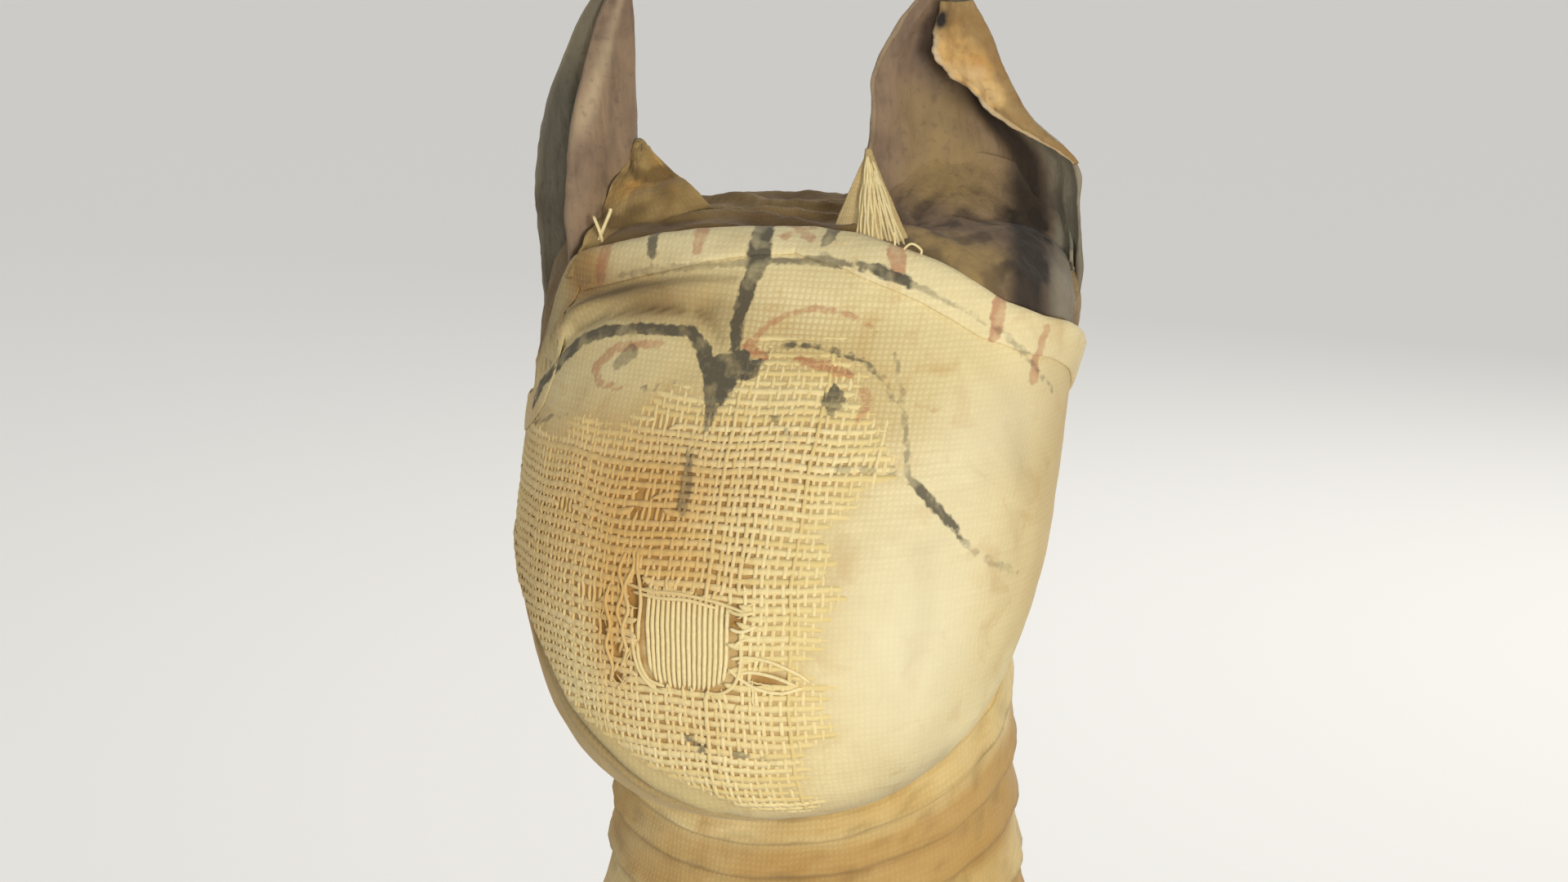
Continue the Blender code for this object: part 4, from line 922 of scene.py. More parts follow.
# painted shade along creases: strength and half width, then places along the crease
SHADED_CREASES = [
    (0.9, 0.8, DOUBLED_EDGE[1:9]),
    (0.32, 4.0, DOUBLED_EDGE[1:9] + [(18.2, 17.3), (31.2, 22.8), (45.5, 29.5)]),
    (0.45, 0.6, [(u - 0.8, v - 2.2) for u, v in DOUBLED_EDGE[2:7]]),
    (0.4, 0.8, [(-37.5, 106.0), (-31.5, 110.5), (-21.0, 114.5), (-10.5, 116.8), (-3.0, 117.4)]),
    (0.4, 0.7, [(-35.0, 105.0), (-27.0, 108.5), (-19.0, 110.8), (-11.5, 111.2)]),
    (0.35, 0.8, [(-52.0, 93.0), (-43.0, 101.0), (-38.0, 105.5)]),
    (0.3, 0.7, [(-9.0, 111.6), (-5.5, 109.4), (-3.0, 106.0)]),
    (0.07, 2.6, [(38.0, 70.0), (39.4, 60.0), (38.0, 52.0)]),
    (0.06, 3.4, [(52.0, 88.0), (56.0, 76.0), (55.0, 62.0)]),
]
# folds of slack cloth: height and half width, then places along the fold
FACE_FOLDS = [
    (1.0, 1.5, [(-47.7, 95.1), (-39.0, 104.4), (-30.8, 110.2), (-19.9, 113.6), (-8.9, 115.0)]),
    (-0.7, 1.2, [(-44.0, 95.5), (-36.0, 104.0), (-27.0, 109.0), (-17.0, 111.4), (-7.0, 112.0)]),
    (0.9, 1.1, [(-37.0, 107.5), (-28.0, 110.0), (-18.5, 112.5), (-10.5, 112.2)]),
    (-1.1, 1.0, DOUBLED_EDGE[2:9]),
    (0.7, 1.6, [(u + 1.5, v + 2.0) for u, v in DOUBLED_EDGE[1:8]]),
    (0.4, 2.0, [(-47.0, 84.0), (-38.0, 87.0), (-28.0, 89.0)]),
    (0.4, 2.2, [(44.0, 98.0), (50.0, 86.0), (57.0, 76.0)]),
    (-0.35, 2.5, [(52.0, 96.0), (57.0, 84.0)]),
    (-0.3, 1.5, [(37.0, 72.0), (38.8, 60.0), (37.5, 47.0)]),
    (0.3, 2.0, [(41.5, 70.0), (42.0, 56.0), (40.5, 46.0)]),
]


def stroke_reach(across, up, strokes, limit=4.0):
    """Distance in mm to the nearest stroke's edge, below zero inside it, and its strength."""
    nearest = np.full(across.shape, limit)
    strength = np.zeros(across.shape)
    for power, line in strokes:
        for (u0, v0, w0), (u1, v1, w1) in zip(line[:-1], line[1:]):
            run_across, run_up = u1 - u0, v1 - v0
            share = ((across - u0) * run_across + (up - v0) * run_up) / (run_across**2 + run_up**2)
            share = np.clip(share, 0, 1)
            gap = np.hypot(across - u0 - share * run_across, up - v0 - share * run_up)
            gap -= w0 + (w1 - w0) * share
            strength = np.where(gap < nearest, power, strength)
            nearest = np.minimum(nearest, gap)
    return nearest, strength


def in_patch(across, up):
    """Above zero inside the muzzle patch, whose outline is ragged."""
    left, bottom, right, top = PATCH
    ragged = 0.9 * np.sin(up * 1.7) + 0.6 * np.sin(up * 3.9 + 1) + 0.7 * np.sin(across * 1.9)
    inside = np.minimum(across - left, right - across)
    inside = np.minimum(inside, np.minimum(up - bottom, top - up))
    return inside + ragged * 0.8


def hole_depth(across, up):
    """1 in the worn holes, fading out round them."""
    return np.clip(sum(spot(across, up, *hole) for hole in HOLES) * 1.6 - 0.35, 0, 1)


def openness(across, up):
    """How far the weave stands open, from 0 on the smooth cheek to 1 over the muzzle."""
    heights, edges = np.array(OPEN_EDGE).T
    places, heads = np.array(OPEN_HEAD).T
    wavy = 2.2 * np.sin(up * 0.31 + 1) + 1.3 * np.sin(up * 0.83)
    right = np.interp(up, heights, edges) + wavy
    head = np.interp(across, places, heads) + 1.5 * np.sin(across * 0.4)
    share = smooth_step(right + CHEEK_FADE_PAST - across, 0, CHEEK_FADE)
    share = share * smooth_step(across - OPEN_LEFT, 1, 9)
    closed = 1 + 4 * smooth_step(across, -28, -8)
    share = share * smooth_step(over_edge(across, up) - closed, 0, 6)
    share = share * smooth_step(up, OPEN_BOTTOM, OPEN_BOTTOM + 9)
    share = share * (1 - 0.6 * smooth_step(up, 88, 98) * smooth_step(across, -9, -2))
    return share * (1 - smooth_step(up, head - 12, head + 8))


def sum_of_spots(across, up, places):
    return sum(strength * spot(across, up, *place) for strength, *place in places)


def beside_line(across, up, line, half_width):
    """1 on a line through places on the cloth, fading out beside it."""
    reach, _ = stroke_reach(across, up, [(1.0, [(u, v, 0.0) for u, v in line])], 12.0)
    return np.exp(-((reach / half_width) ** 2))


def fold_lift(across, up):
    """Height in mm of the folds in the slack cloth."""
    lift = np.zeros(across.shape)
    for height, half_width, line in FACE_FOLDS:
        lift += height * beside_line(across, up, line, half_width)
    return lift


def crease_shade(across, up):
    """How much shade is painted along the creases, from 0 to 1."""
    painted_shade = np.zeros(across.shape)
    for strength, half_width, line in SHADED_CREASES:
        painted_shade = np.maximum(painted_shade, strength * beside_line(across, up, line, half_width))
    return painted_shade


def over_edge(across, up):
    """Height in mm over the mask's doubled lower edge; below zero on the neck's cloth."""
    places, heights = np.array(DOUBLED_EDGE).T
    return up - np.interp(across, places, heights)


def face_values(across, up):
    """Layers of numbers for places on the face, which are in metres."""
    across, up = across / MM, up / MM
    soot, soot_strength = stroke_reach(across, up, SOOT_STROKES)
    red, red_strength = stroke_reach(across, up, RED_STROKES)
    hole = hole_depth(across, up)
    patch = smooth_step(in_patch(across, up), 0, 2)
    on_neck = smooth_step(-over_edge(across, up), 0, 1) * smooth_step(across, -80, -50)
    # painted shade in the worn holes, along the creases and in darker patches
    grime_and_shade = 0.12 * hole + sum_of_spots(across, up, SHADE_AND_STAIN_SPOTS) + crease_shade(across, up)
    return {
        "soot": soot,
        "soot_strength": soot_strength * (1 - 0.5 * hole),
        "red": red,
        "red_strength": red_strength,
        "amber": np.clip(sum_of_spots(across, up, AMBER_STAINS_AND_SHADE) + 0.35 * on_neck, 0, 0.95),
        "gap": np.clip(0.75 * openness(across, up) * (1 - 0.75 * patch) + 0.5 * hole, 0, 1),
        "grime_and_shade": np.clip(grime_and_shade, 0, 1),
        "bleach_and_highlight": np.clip(sum_of_spots(across, up, CHEEK_HIGHLIGHT), 0, 1),
        "coarse": np.clip(sum_of_spots(across, up, COARSE_WEAVE), 0, 1),
    }


# Face cloth

FACE_ROWS = 120
FACE_COLUMNS = 300
FACE_CLOTH = 0.9 * MM
NECK_CLEARANCE = 0.4 * MM
FACE_SINK = 0.12  # mm that the ground lies under the threads where the weave is open


def outside_neck(points):
    """True where a point isn't inside the neck's column."""
    half_width, front, back = profile(BODY_SHAPE, points[..., 2])
    middle, depth = (back - front) / 2, (back + front) / 2
    wide, deep = half_width + NECK_CLEARANCE, depth + NECK_CLEARANCE
    return (points[..., 0] / wide) ** 2 + ((points[..., 1] - middle) / deep) ** 2 > 1


def neck_rows(angles):
    """For each angle, the lowest row on the head outside the neck."""
    fine = np.linspace(0, LAST_ROW, 2401)
    points = bare_head(fine[:, None], np.asarray(angles)[None, :])
    return fine[np.argmax(outside_neck(points), axis=0)]


def face_point(rows, angles, lift):
    """A point over the mask, lift metres above its cloth's slack surface."""
    points, normals = head_frame(rows, angles)
    across, up = cloth_place(rows, angles)
    slack = 0.35 * lumps(points, 22 * MM, 1) + 0.12 * lumps(points, 6 * MM, 2)
    slack = slack + fold_lift(across / MM, up / MM)
    return points + normals * (slack * MM + lift)[..., None], normals


def face_cloth():
    angles = np.linspace(-math.pi, math.pi, FACE_COLUMNS, endpoint=False)
    low, high = neck_rows(angles), hem_rows(angles) - 0.02
    share = np.linspace(0, 1, FACE_ROWS)[:, None]
    rows = np.maximum(low + (high - low) * share, 0.03)
    angles = np.broadcast_to(angles, rows.shape)
    place = cloth_place(rows, angles)
    values = face_values(*place)
    across, up = place[0] / MM, place[1] / MM
    hollow = FACE_SINK * openness(across, up) + 0.4 * hole_depth(across, up)
    points, _ = face_point(rows, angles, -hollow * MM)
    face = grid_object("face_cloth", points, MATERIALS["face"], values, place, ring=True)
    give_thickness(face, FACE_CLOTH, -1)
    finish_piece(face, "linen_cream", "face_mask")
    return face


# Threads of the open weave

THREAD_STEP = 0.6  # mm between a thread's places
LEAST_OPEN = 0.05  # where the weave is less open than this, no thread is drawn
SHORTEST_RUN = 5  # places that a length of thread has at least
BROKEN_SHARE = 0.12  # of the threads have a worn break
CRIMP = 0.12  # mm that a thread bends over and under the others
# half widths and half heights in mm
WEFT_SIZE = (0.61, 0.26)
WARP_SIZE = (0.37, 0.22)
TORN_SIZE = (0.34, 0.26)
PATCH_SIZE = (0.38, 0.3)
FUZZ_SIZE = (0.17, 0.15)


def wander(across, up, seed, size):
    spots = np.stack([across, up, np.full_like(across, seed * 3.3)], axis=-1)
    return lumps(spots, size, seed, 2)


def face_thread(kind, index, rng):
    """One thread over the open weave: its places, its lift, and where it is still there."""
    if kind == "weft":
        across = np.arange(OPEN_LEFT, OPEN_RIGHT, THREAD_STEP)
        up = np.full_like(across, OPEN_BOTTOM + index * WEFT_PITCH + rng.normal(0, 0.1))
        phase = np.cos(math.pi * ((across - OPEN_LEFT) / WARP_PITCH + index))
    else:
        up = np.arange(OPEN_BOTTOM, OPEN_TOP, THREAD_STEP)
        across = np.full_like(up, OPEN_LEFT + index * WARP_PITCH + rng.normal(0, 0.12))
        phase = -np.cos(math.pi * ((up - OPEN_BOTTOM) / WEFT_PITCH + index))
    across, up = across + 0.55 * wander(across, up, 3, 14), up + 1.0 * wander(across, up, 4, 18)
    across, up = across + 0.14 * wander(across, up, 5, 3), up + 0.14 * wander(across, up, 6, 3)
    open_share = openness(across, up)
    level = -0.17 + 0.53 * open_share**0.8
    if kind == "weft":
        level = level + rng.normal(0, 0.03)
    else:
        # a few upright threads stand proud of the rest, most of them beside the nose
        beside_nose = 0.24 * spot(across, up, 7.0, 72.0, 3.2, 16.0)
        sunk = rng.normal(-0.34, 0.04) + 0.18 * smooth_step(across, -10, 2)
        sunk = sunk + (0.3 if rng.random() < 0.1 else 0)
        level = level + np.maximum(sunk, beside_nose - 0.14) * open_share
    present = (open_share > LEAST_OPEN) & (in_patch(across, up) < 0)
    present &= hole_depth(across, up) < 0.45 + 0.3 * rng.random()
    if rng.random() < BROKEN_SHARE:
        start = rng.uniform(0, len(across) - 12)
        worn = np.arange(len(across)) - start
        present &= ~((worn > 0) & (worn < rng.uniform(3, 8)))
    return across, up, level + CRIMP * phase * open_share, present


def runs_of(present):
    """First and last places of each run of true values."""
    edges = np.diff(np.concatenate([[0], present.astype(int), [0]]))
    return zip(np.flatnonzero(edges == 1), np.flatnonzero(edges == -1))


def face_strand(u, v, lift, half_width, half_height, tone):
    """A thread over the face through places in mm, with the stains and the paint it carries."""
    rows, angles = head_place(u * MM, v * MM)
    rows = np.minimum(rows, hem_rows(angles) - 0.05)
    points, normals = face_point(rows, angles, lift * MM)
    values = face_values(u * MM, v * MM)
    values.pop("gap")
    values["tone"] = tone + 0 * u
    values["amber"] = values["amber"] * 0.8
    values["grime_and_shade"] = values["grime_and_shade"] * 0.6
    return points, normals, half_width * MM, half_height * MM, values


def face_threads(kind, count, half_width, half_height):
    rng = np.random.default_rng(SEED + len(kind) * 7 + count)
    strands = []
    for index in range(count):
        across, up, lift, present = face_thread(kind, index, rng)
        tone = np.clip(rng.normal(0.35, 0.25), 0, 0.9)
        plump = rng.uniform(0.88, 1.12)
        for start, stop in runs_of(present):
            if stop - start < SHORTEST_RUN:
                continue
            u, v, high = across[start:stop].copy(), up[start:stop].copy(), lift[start:stop].copy()
            frayed = openness(u[[0, -1]], v[[0, -1]]) > 0.5
            breaks = ((0, frayed[0] and start > 0), (-1, frayed[1] and stop < len(across)))
            for end, broken in breaks:
                if broken:
                    away = np.arange(len(u)) if end == 0 else np.arange(len(u))[::-1]
                    curl = np.clip(1 - away / 5, 0, 1) ** 2
                    high += curl * rng.uniform(0, 0.5)
                    side = rng.uniform(-1.0, 1.0)
                    v, u = (v + curl * side, u) if kind == "weft" else (v, u + curl * side)
            swell = 1 + 0.1 * np.sin(np.arange(len(u)) * 0.9 + index)
            open_share = openness(u, v)
            height = half_height * (0.35 + 0.65 * open_share)
            dull = np.clip(tone + 0.6 * (1 - open_share), 0, 1)
            wide = half_width * plump * swell
            strands.append(face_strand(u, v, high - height, wide, height, dull))
    return strands


# Torn threads round the muzzle patch, by their places
TORN_THREADS = [
    [(-11.0, 69.0), (-10.6, 66.0), (-9.8, 63.4), (-9.3, 60.5), (-9.6, 57.0), (-9.8, 54.0)],
    [(-12.0, 69.0), (-11.3, 66.0), (-12.5, 62.5), (-11.6, 59.0), (-12.8, 55.5), (-12.0, 52.0),
     (-13.4, 49.0)],
    [(-13.2, 68.5), (-14.0, 65.0), (-12.7, 62.0), (-13.8, 58.5), (-12.5, 55.0), (-13.6, 51.5)],
    [(-15.5, 63.0), (-16.3, 59.5), (-15.2, 56.0), (-16.1, 52.5), (-15.0, 49.0), (-15.8, 46.0)],
    [(-11.0, 57.0), (-10.6, 52.5), (-9.2, 48.6), (-6.4, 46.2), (-3.2, 46.0)],
    [(-10.0, 54.0), (-9.4, 50.4), (-7.8, 47.8), (-5.0, 46.9)],
    [(8.2, 57.0), (8.3, 52.0), (7.2, 48.4), (4.8, 46.6), (2.2, 46.6)],
    [(6.6, 52.6), (9.5, 53.0), (13.0, 52.4), (17.0, 50.6), (19.5, 48.8)],
    [(6.2, 50.9), (8.6, 49.0), (11.5, 47.6), (15.0, 47.1), (18.4, 48.0)],
    [(7.0, 49.8), (9.8, 50.5), (13.4, 49.9), (17.2, 48.3)],
    [(-12.5, 63.2), (-8.0, 62.5), (-3.0, 62.6), (2.0, 62.1), (6.0, 61.2), (9.5, 60.0)],
    [(-11.0, 62.0), (-6.0, 61.6), (-1.0, 61.7), (4.0, 60.8)],
    [(10.6, 60.4), (7.8, 60.0), (5.6, 60.8)],
    [(10.8, 58.2), (8.4, 57.2), (6.4, 57.6)],
    [(10.4, 56.2), (8.6, 55.8), (7.0, 54.6)],
]


def torn_threads():
    """Broken threads that lie across the muzzle beside the worn holes."""
    rng = np.random.default_rng(SEED + 5)
    strands = []
    for line in TORN_THREADS:
        stations = [(i, *place) for i, place in enumerate(line)]
        u, v = profile(stations, np.linspace(0, len(line) - 1, 9 * len(line) - 8))
        arch = 0.18 + 0.3 * np.sin(np.linspace(0, math.pi, len(u))) * rng.uniform(0.5, 1)
        strands.append(face_strand(u, v, arch, *TORN_SIZE, rng.uniform(0, 0.5)))
    left, bottom, right, top = PATCH
    for u in np.arange(left + 1.2, right - 0.4, PATCH_PITCH):
        middle = (u - (left + right) / 2) / ((right - left) / 2)
        foot = bottom + 3.2 * middle**4 + rng.normal(0, 0.2)
        head = top + 1.5 - 1.2 * middle + rng.normal(0, 0.5)
        v = np.arange(foot, head, 0.5)
        waver = u - 0.8 * middle * np.exp(-(v - foot) / 2.5) + 0.15 * wander(0 * v + u, v, 9, 6)
        strands.append(face_strand(waver, v, 0.02 + 0 * v, *PATCH_SIZE, rng.uniform(0, 0.35)))
    for centre_across, centre_up, half_width, half_height in HOLES:
        for _ in range(3):
            heading = rng.uniform(0, 2 * math.pi)
            u = centre_across + rng.normal(0, half_width)
            v = centre_up + rng.normal(0, half_height)
            path = [(u, v)]
            for _ in range(int(rng.integers(7, 14))):
                heading += rng.normal(0, 0.22)
                u, v = u + 0.45 * math.cos(heading), v + 0.45 * math.sin(heading)
                path.append((u, v))
            u, v = np.array(path).T
            arch = 0.1 + 0.35 * np.sin(np.linspace(0, math.pi, len(u))) * rng.random()
            strands.append(face_strand(u, v, arch, *FUZZ_SIZE, rng.uniform(0, 0.5)))
    return strands


def face_weave():
    wefts = int((OPEN_TOP - OPEN_BOTTOM) / WEFT_PITCH)
    warps = int((OPEN_RIGHT - OPEN_LEFT) / WARP_PITCH)
    weft = strands_object("face_weft", face_threads("weft", wefts, *WEFT_SIZE), MATERIALS["yarn"])
    warp = strands_object("face_warp", face_threads("warp", warps, *WARP_SIZE), MATERIALS["yarn"])
    loose = strands_object("face_loose_threads", torn_threads(), MATERIALS["yarn"], 5)
    for piece in (weft, warp, loose):
        finish_piece(piece, "linen_cream")
    return [weft, warp, loose]


# Brow hem

HEM_STATIONS = 420
HEM_SMOOTHING = 7  # stations over which the hem's direction is evened out
# across the band from its top edge, and lift over the cloth, in mm: a folded edge, rolled on top
HEM_SECTION = [
    (0.5, -0.3),
    (-0.1, 0.1),
    (-0.45, 0.7),
    (-0.2, 1.3),
    (0.6, 1.65),
    (1.8, 1.55),
    (3.2, 1.2),
    (4.6, 0.95),
    (5.8, 0.75),
    (6.35, 0.55),
    (6.5, 0.25),
    (6.3, -0.1),
    (4.6, -0.3),
    (2.4, -0.35),
]


def finished_hem(name, points, values, place, *nodes):
    hem = grid_object(name, points, MATERIALS["face"], values, place, ring=True, closed=True)
    turn_outward(hem.data)
    finish_piece(hem, "linen_cream", *nodes)
    return hem


def brow_hem():
    angles = np.linspace(-math.pi, math.pi, HEM_STATIONS, endpoint=False)
    rows = hem_rows(angles)
    across, up = cloth_place(rows, angles)
    run_across, run_up = np.gradient(across), np.gradient(up)
    length = np.hypot(run_across, run_up)
    inward = np.stack([run_up / length, -run_across / length], axis=-1)
    kernel = np.ones(HEM_SMOOTHING) / HEM_SMOOTHING
    half = HEM_SMOOTHING // 2
    for side in range(2):
        padded_side = np.concatenate([inward[-half:, side], inward[:, side], inward[:half, side]])
        inward[:, side] = np.convolve(padded_side, kernel, "valid")
    section = np.array(HEM_SECTION)
    # it lies flat where it turns down along the cheek
    fullness = 1 - 0.85 * np.exp(-(((np.degrees(angles) + 66) / 15) ** 2))
    reach, lift = section[None, :, 0] * MM, section[None, :, 1] * fullness[:, None] * MM
    u = across[:, None] + inward[:, 0, None] * reach
    v = up[:, None] + inward[:, 1, None] * reach
    place_rows, place_angles = head_place(u, v)
    points, normals = face_point(place_rows, place_angles, lift)
    pucker = lumps(points, 5 * MM, 8, 2) * (section[:, 1] > 0)
    points = points + normals * (0.22 * MM * pucker)[..., None]
    values = face_values(u, v)
    values["gap"] = values["gap"] * 0.2
    values["bleach_and_highlight"] = values["bleach_and_highlight"] + 0.12 * smooth_step(u, -36 * MM, -24 * MM)
    values["amber"] = np.clip(values["amber"] + 0.35 * spot(u / MM, v / MM, -33, 116, 5, 6), 0, 0.9)
    # painted shade on the low parts of the folded edge
    values["grime_and_shade"] = values["grime_and_shade"] + 0.2 * (section[:, 1] < 0.2)
    return finished_hem("brow_hem_band", points, values, (u, v), "brow_hem")


# Chin hem: the mask's lower edge, rolled where it shows on the animal's right

# up from the neck, and lift over the cloth, in mm
CHIN_SECTION = [
    (0.2, -0.6),
    (-0.5, 0.0),
    (-0.4, 0.7),
    (0.4, 1.0),
    (1.3, 0.9),
    (2.0, 0.5),
    (2.3, -0.1),
    (1.4, -0.6),
]
CHIN_STEP = 0.2  # rows over which the head's slope is measured


def chin_hem():
    angles = np.linspace(-math.pi, math.pi, HEM_STATIONS, endpoint=False)[:, None]
    low = neck_rows(angles[:, 0])[:, None]
    rise = bare_head(low + CHIN_STEP, angles) - bare_head(low, angles)
    rows_per_metre = CHIN_STEP / np.linalg.norm(rise, axis=-1)
    section = np.array(CHIN_SECTION)
    degrees = np.degrees(angles)
    fullness = 0.35 + 0.65 * smooth_step(degrees, -125, -95) * (1 - smooth_step(degrees, -40, -15))
    rows = np.maximum(low + section[None, :, 0] * fullness * MM * rows_per_metre, 0.02)
    lift = (section[None, :, 1] * fullness + 0.12 * np.sin(degrees * 1.3)) * MM
    angles = np.broadcast_to(angles, rows.shape)
    points, _ = face_point(rows, angles, lift)
    u, v = cloth_place(rows, angles)
    values = face_values(u, v)
    # painted shade over the roll, deepest on its low parts against the neck
    values["grime_and_shade"] = np.clip(0.25 + 0.45 * (section[:, 1] < 0.3) + 0 * rows, 0, 0.8)
    return finished_hem("chin_hem_roll", points, values, (u, v))


# Crown cloth

CROWN_ROWS = 70
CROWN_COLUMNS = 260
CROWN_CLOTH = 1.0 * MM
CROWN_UNDER_HEM = 0.3  # rows of the head that it runs on under the hem
FOLD_REACH = 34  # mm to each side that its folds run
# folds across the crown: place back from the middle, slant, height and half width, in mm
CROWN_FOLDS = [
    (-15.0, 0.14, 1.2, 1.4),
    (-9.5, -0.12, 1.5, 1.7),
    (-3.0, 0.10, 1.3, 1.5),
    (5.0, -0.14, 1.6, 2.0),
    (13.0, 0.12, 0.9, 2.2),
    (21.0, -0.1, 1.0, 2.8),
]


def crown_point(rows, angles):
    """Points of the crown's cloth with its folds, and their height in mm."""
    points, normals = head_frame(rows, angles)
    x, y = points[..., 0] / MM, points[..., 1] / MM
    relief = 0.6 * lumps(points, 13 * MM, 11) + 0.35 * lumps(points, 4 * MM, 12)
    for back, slant, height, half_width in CROWN_FOLDS:
        offset = y - back - slant * x - 1.8 * np.sin(x / 5.5 + back)
        fade = np.cos(np.clip(x / FOLD_REACH, -1, 1) * math.pi / 2)
        relief = relief + height * fade * np.exp(-((offset / half_width) ** 2))
    settled = smooth_step(rows, hem_rows(angles) - CROWN_UNDER_HEM, hem_rows(angles) + 0.6)
    relief = relief * (0.25 + 0.75 * settled) - 0.2
    return points + normals * (relief * MM)[..., None], relief


def crown_cloth():
    angles = np.linspace(-math.pi, math.pi, CROWN_COLUMNS, endpoint=False)
    low = hem_rows(angles) - CROWN_UNDER_HEM
    share = np.linspace(0, 1, CROWN_ROWS)[:, None] ** 0.8
    rows = low + (LAST_ROW - low) * share
    angles = np.broadcast_to(angles, rows.shape)
    points, relief = crown_point(rows, angles)
    points[-1] = points[-1].mean(axis=0)
    x, y = points[..., 0] / MM, points[..., 1] / MM
    amber = 0.5 * lumps(points, 18 * MM, 13) + 0.7 * spot(x, y, 3, -12, 13, 7)
    # painted shade in a hollow behind the brow between the ears and in the valleys of the folds
    grime_and_shade = 0.7 * spot(x, y, 8, -14, 5, 4) + 0.65 * smooth_step(0.3 - relief, 0, 1.0)
    values = {
        "amber": np.clip(amber, 0, 0.85),
        "grime_and_shade": np.clip(grime_and_shade, 0, 0.85),
        "gap": np.zeros(rows.shape),
    }
    place = cloth_place(rows, angles)
    crown = grid_object("crown_linen", points, MATERIALS["crown"], values, place, ring=True)
    close_doubles(crown.data)
    give_thickness(crown, CROWN_CLOTH, -1)
    finish_piece(crown, "linen_stained", "crown_cloth")
    return crown


ROOT_SKIN = 0.6 * MM
ROOT_CLEARANCE = 0.5 * MM
ROOT_ROWS = 70
ROOT_COLUMNS = 110
ROOT_FREE_ROWS = 6  # the last rows lie on the ear's wall and aren't lifted over the crown
SWIRL_ACROSS, SWIRL_UP = -0.13, 0.42
# across the left ear's cup: the hem's angle that its floor runs down to, and the floor's top on
# the cup's wall
FLOOR_PLACES = [
    (-1.0, 29.0, 0.47),
    (-0.6, 35.0, 0.56),
    (-0.2, 45.6, 0.60),
    (0.2, 59.5, 0.58),
    (0.6, 75.5, 0.50),
    (0.8, 84.0, 0.44),
    (1.0, 95.0, 0.38),
]


def ear_root_skin(crown):
    """Dried skin that sweeps from the left ear's wall down to the hem, crumpled in a swirl."""
    tree = BVHTree.FromObject(crown, bpy.context.evaluated_depsgraph_get())
    around = np.linspace(-1, 1, ROOT_COLUMNS)[None, :]
    share = np.linspace(0, 1, ROOT_ROWS)[:, None]
    degrees, height = profile(FLOOR_PLACES, around)
    angles = np.radians(degrees)
    foot, _ = crown_point(hem_rows(angles) + 0.04, angles)
    top, _ = ear_frame(*LEFT_CUP, height, around, EAR_LINING - ROOT_SKIN)
    leave = (top - foot) * np.array([1, 1, 0.2])
    arrive = np.array([0, 0, 16 * MM])
    s = share[..., None]
    points = (2 * s**3 - 3 * s**2 + 1) * foot + (s**3 - 2 * s**2 + s) * leave
    points = points + (3 * s**2 - 2 * s**3) * top + (s**3 - s**2) * arrive
    aside, above = around - SWIRL_ACROSS, share - SWIRL_UP
    reach = np.hypot(aside * 15.5, above * 18.5)
    turned = np.arctan2(above, aside)
    swirl = np.sin(reach * 1.6 + 1.2 * turned) * np.exp(-((reach / 8) ** 2))
    crumple = lumps(points, 5 * MM, 61, 4)
    relief = (0.4 * crumple + 0.5 * swirl) * np.sin(math.pi * share**0.7)
    points[..., 2] += relief * MM
    for place in points[:-ROOT_FREE_ROWS].reshape(-1, 3):
        hit, _, _, _ = tree.ray_cast(Vector((place[0], place[1], 1)), Vector((0, 0, -1)))
        if hit is not None:
            place[2] = max(place[2], hit.z + ROOT_CLEARANCE)
    groove = ear_groove(around) + 0 * share
    hollow = smooth_step(-crumple - 0.8 * swirl, 0, 0.7)
    hollow = hollow * (1 - smooth_step(share, 0.6, 0.85))
    centre = np.exp(-(((around + 0.2) / 0.42) ** 2)) * smooth_step(share, 0.4, 0.7)
    strip = 0.8 * (1 - smooth_step(share, 0.1, 0.34)) * (1 - smooth_step(around, 0.05, 0.35))
    # dark: painted shade in the groove by the outer rim and in the hollows of the crumples
    values = {
        "dark": np.clip(0.9 * groove + 0.5 * hollow * (1 - smooth_step(around, 0.5, 0.7)), 0, 0.95),
        "ochre": np.clip(0.7 * centre + strip, 0, 1),
        "grey": 0.8 * smooth_step(around, 0.46, 0.7) + 0 * share,
        "pale": 0 * groove,
    }
    skin = grid_object("left_ear_root_skin", points, MATERIALS["hide"], values=values)
    give_thickness(skin, ROOT_SKIN, -1)
    turn_outward(skin.data)
    finish_piece(skin, "ear_hide")


def close_doubles(mesh):
    bm = bmesh.new()
    bm.from_mesh(mesh)
    bmesh.ops.remove_doubles(bm, verts=bm.verts, dist=1e-6)
    bm.to_mesh(mesh)
    bm.free()


# Ears

# an ear's foot is drawn in under the crown's cloth: the shares where it starts and has its full
# width, and how far it is drawn in
LEFT_FOOT = (0.1, 0.32, 3.4 * MM)
RIGHT_FOOT = (0.0, 0.15, 5.0 * MM)
EAR_TIP = 0.96  # share of the ear's height where its tip begins to round off
EAR_TIP_END = 1.01  # and where it would close
EAR_ROWS = 110
EAR_COLUMNS = 64


